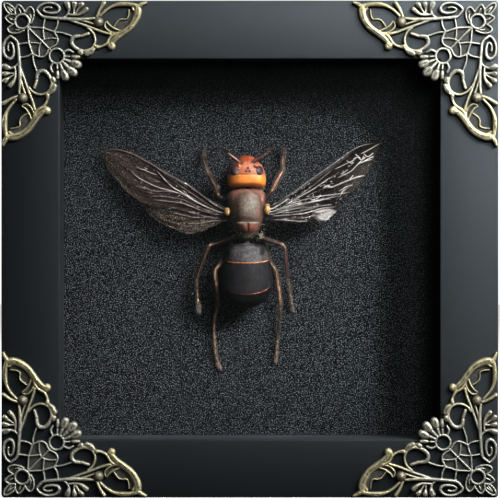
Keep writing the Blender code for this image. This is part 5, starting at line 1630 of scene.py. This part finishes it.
def build_wing(name, shape, finish):
    """A thin folded sheet between the wing's two edges, with its creases raised."""
    front, rear = along_path(shape["leading"], SPANS), along_path(shape["trailing"], SPANS)
    along, across = np.linspace(0, 1, SPANS)[:, None], np.linspace(0, 1, CHORDS)[None, :]
    x = front[:, :1] * (1 - across) + rear[:, :1] * across
    z = front[:, 1:] * (1 - across) + rear[:, 1:] * across
    seed = len(name) + ord(name[0])
    wander = 0.5 * lattice_noise(along * 5, across * 3, seed + 5)

    # Slope, folds and unevenness of the sheet
    root, tip = shape["heights"]
    h = root + (tip - root) * along + 0.9 * np.sin(np.pi * along) - 1.2 * along * across
    h = h + shape["wave"] * np.sin(2 * np.pi * 3 * across) * np.sin(np.pi * (0.12 + 0.8 * along))
    h = h + 0.45 * (lattice_noise(along * 7, across * 5 + wander, seed) - 0.5) * np.minimum(1, 3 * along)

    # Fine relief, which fades towards the tip
    inner = 1 - 0.8 * step(along, 0.6, 0.82)
    patch = step(lattice_noise(along * 6, across * 5, seed + 3), 0.4, 0.65)
    streaks = step(lattice_noise(along * 5, across * 13 + 3 * wander, seed + 1), 0.6, 0.8)
    lines = ridged(lattice_noise(along * 7 + 2, across * 12 + 4 * wander, seed + 7), 0.11)
    crackle = ridged(lattice_noise(along * 34 + 3 * wander, across * 17, seed + 2), shape["crackle"]) * patch
    crackle = crackle * step(lattice_noise(along * 50, across * 30, seed + 8), 0.35, 0.6)
    varied = step(lattice_noise(along * 9, across * 9, seed + 6), 0.3, 0.75)
    h = h + shape["crinkle"] * inner * (0.3 * streaks + 0.26 * lines + 0.22 * crackle)
    # pale: painted highlights on the streaks, lines and crackle of the relief
    lightest = np.maximum.reduce([0.14 * streaks * varied, 0.62 * lines * varied, 0.9 * crackle])
    pale = shape["crinkle"] * inner * lightest

    # Ragged trailing edge
    ragged = (lattice_noise(along * 40, 0 * along, seed + 4) - 0.5) * 0.35
    z = z + ragged * np.minimum(1, 4 * along * (1.02 - along)) * across**8

    # Ribbed strip at the leading edge, with a dark gap behind it
    band, reach = shape["fore band"]
    near_root = 1 - step(along, reach, reach + 0.15)
    ribs = 0.5 + 0.5 * np.cos(2 * np.pi * 3 * across / band)
    pale = np.maximum(pale, (1 - step(across, band * 0.8, band)) * near_root * (0.24 + 0.14 * ribs**3))
    pale = pale * (1 - 0.9 * (hump(across, band * 1.25, band * 0.25) * near_root))

    broad, bright = shape["line"]
    # Each crease is raised, with a painted highlight along it
    for lift, half, paleness, points in shape["creases"]:
        away, share = nearest_on(x, z, smooth_path(points, 5))
        fade = np.clip(6 * share * (1 - share) + 0.35, 0, 1)
        h = h + lift * fade * np.exp(-(away / (half * 1.5)) ** 2)
        pale = np.maximum(pale, bright * paleness * fade * np.exp(-(away / (broad * half)) ** 2))
    # patch: a painted highlight over a broad area
    if "patch" in shape:
        (px, pz), (wide, tall), share = shape["patch"]
        pale = np.maximum(pale, share * (1 - step(np.hypot((x - px) / wide, (z - pz) / tall), 0.6, 1.0)))
    thin = np.broadcast_to(np.clip(shape["thin"](along, across), 0, 1), x.shape)
    stock = Stock().add(place(x, z, h), net_faces(SPANS, CHORDS), crease=np.ravel(pale), tip=np.ravel(thin))
    stock.piece(name + "_film", finish, "wings", [name])


TUFTS = (  # x, z, how far they spread in x and z, how many hairs
    (-5.4, 8.4, 0.4, 0.9, 10), (-4.6, 5.9, 0.5, 0.8, 11), (3.2, 4.7, 0.25, 0.5, 16), (2.9, 3.9, 0.25, 0.3, 14),
    (3.9, 7.0, 0.4, 0.8, 8), (-3.6, 4.4, 0.7, 0.5, 15), (-0.9, 18.3, 2.4, 0.3, 18),
)
WAIST_HAIRS, BACK_HAIRS, ELBOW_HAIRS, FLANK_HAIRS, TAIL_HAIRS = 30, 70, 60, 900, 1500
LEFT_ELBOW = (-9.7, 18.9, 6.9)


def build_fuzz(golden, dark):
    """Short hairs on the thorax, at the waist, on the left foreleg's elbow and on the tail."""
    rng = np.random.default_rng(5)

    def tuft(stock, body, spots, length, lean, thick_mm, seed, lift=0.35):
        x, z = spots.T
        h = body.top(x, z) + lift * 0.4
        out = np.column_stack([(x - body.middle_x) * 0.5, np.zeros(len(x)) - lean, np.full(len(x), 1.4)])
        out += rng.normal(size=out.shape) * 1.3
        roots = place(x, z, h)
        ways = place(x + out[:, 0], z + out[:, 1], h + out[:, 2]) - roots
        lengths = length * rng.uniform(0.5, 1.1, len(x)) * SPECIMEN_UNIT
        stock.add(*hairs(roots, ways, lengths, thick_mm * MM, 0.3, seed))

    pale = Stock()
    waist = np.column_stack([rng.normal(-0.8, 2.6, WAIST_HAIRS), rng.uniform(3.3, 4.8, WAIST_HAIRS)])
    tuft(pale, THORAX, waist, 1.5, 1.2, 0.05, 31)
    for x, z, spread_x, spread_z, count in TUFTS:
        spots = np.column_stack([rng.normal(x, spread_x, count), rng.normal(z, spread_z, count)])
        tuft(pale, THORAX, spots, 1.3, 0.9, 0.065, 40 + count)
    back = np.column_stack([rng.normal(-0.8, 2.0, BACK_HAIRS), rng.uniform(9.4, 17.0, BACK_HAIRS)])
    tuft(pale, THORAX, back, 0.5, 0.8, 0.03, 33, lift=1.8)
    elbow = np.array([LEFT_ELBOW]) + rng.normal(size=(ELBOW_HAIRS, 3)) * (0.22, 0.3, 0.15)
    ways = rng.normal(size=(ELBOW_HAIRS, 3)) + (0.5, -1, 0.4)
    pale.add(*hairs(place(*elbow.T), ways, 0.6 * SPECIMEN_UNIT, 0.04 * MM, 0.3, 36))
    pale.piece("pale_fuzz", golden, "brown_shell")

    black = Stock()
    sides = np.where(rng.random(FLANK_HAIRS) < 0.5, -1, 1)
    away = rng.uniform(5.0, 6.1, FLANK_HAIRS)
    flanks = np.column_stack([sides * away - 0.7, rng.uniform(7.0, 17.0, FLANK_HAIRS)])
    tuft(black, THORAX, flanks, 1.0, 0.6, 0.025, 34)
    tail = np.column_stack([rng.uniform(-8.6, 6.4, TAIL_HAIRS), rng.uniform(-17.5, -11.3, TAIL_HAIRS)])
    inside = np.abs(tail[:, 0] - ABDOMEN.middle_x) < ABDOMEN.ring(tail[:, 1])[0] * 0.98
    tuft(black, ABDOMEN, tail[inside], 1.0, 2.6, 0.03, 35, lift=0.5)
    black.piece("dark_fuzz", dark, "brown_shell")


def build_hornet():
    limb_finish = limb_shell()
    build_head(limb_finish)
    build_thorax()
    build_abdomen()
    build_limbs(limb_finish, hair("brown bristles", (0.05, 0.03, 0.02), (0.22, 0.15, 0.09)))
    for name, shape in WINGS.items():
        build_wing(name, shape, wing_film(shape["turn"], shape["haze_and_sheen"]))
    build_fuzz(
        hair("straw fuzz", (0.20, 0.165, 0.075), (0.80, 0.74, 0.50)),
        hair("dark fuzz", (0.010, 0.006, 0.005), (0.034, 0.022, 0.018)),
    )


# The studio


FLOOR_REACH = 2.5
LAMP_COLOUR = (0.93, 0.98, 1.0)
LAMP_TARGET = Vector((8 * MM, PAPER, HALF + 2 * MM))
LAMPS = (  # name, place, size, power, angle of its beam
    ("key_softbox", (0.422, -0.352, 0.463), 0.274, 8.4, 180),
    ("pool_softbox", (0.40, -0.45, 0.42), 0.06, 0.036, 13),
    ("sheen_softbox", (0.195, -0.61, 0.395), 0.12, 1.32, 180),
    ("rear_softbox_left", (-0.8, 0.75, 0.55), 0.6, 10.0, 180),
    ("rear_softbox_right", (0.95, 0.5, 0.45), 0.5, 7.0, 180),
)


def build_floor():
    corners = [(x * FLOOR_REACH, y * FLOOR_REACH, 0) for x, y in ((-1, -1), (1, -1), (1, 1), (-1, 1))]
    floor = bpy.data.meshes.new("studio_floor")
    floor.from_pydata(corners, [], [(0, 1, 2, 3)])
    floor.materials.append(pale_floor())
    ground = bpy.data.objects.new("studio_floor", floor)
    bpy.context.scene.collection.objects.link(ground)
    ground.visible_diffuse = ground.visible_glossy = False


def build_world():
    """A pale background that the camera sees at full strength and that hardly lights the object."""
    air = Recipe("studio", bpy.data.worlds, "Background")
    seen = air.node("ShaderNodeLightPath", {}, {}, "Is Camera Ray")
    strength = air.node("ShaderNodeMapRange", {}, {"Value": seen, "To Min": 0.02, "To Max": 1.0})
    bpy.context.scene.world = air.finish(Color=(0.98, 0.99, 1.0), Strength=strength)


def build_lamps():
    for name, spot, size, power, beam in LAMPS:
        lamp = bpy.data.lights.new(name, "AREA")
        lamp.shape = "SQUARE"
        lamp.size = size
        lamp.energy = power
        lamp.spread = math.radians(beam)
        lamp.color = LAMP_COLOUR
        obj = bpy.data.objects.new(name, lamp)
        bpy.context.scene.collection.objects.link(obj)
        obj.location = spot
        obj.rotation_euler = (LAMP_TARGET - Vector(spot)).to_track_quat("-Z", "Y").to_euler()


def build_camera():
    """Straight in front of the box, framed so that a photograph 500 pixels wide spans 152.9 mm."""
    distance, view_width, sensor = 720 * MM, 152.9 * MM, 36.0
    across, height = 0.06 * MM, 76.05 * MM
    camera = bpy.data.cameras.new("camera")
    camera.sensor_width = sensor
    camera.lens = sensor * distance / view_width
    camera.clip_start, camera.clip_end = 0.01, 20
    obj = bpy.data.objects.new("camera", camera)
    bpy.context.scene.collection.objects.link(obj)
    obj.location = (across, FRONT - distance, height)
    obj.rotation_euler = (math.pi / 2, 0, 0)
    bpy.context.scene.camera = obj
    bpy.context.scene.view_settings.view_transform = "Standard"


build_frame()
build_box()
build_ornaments()
build_hornet()
build_floor()
build_world()
build_lamps()
build_camera()
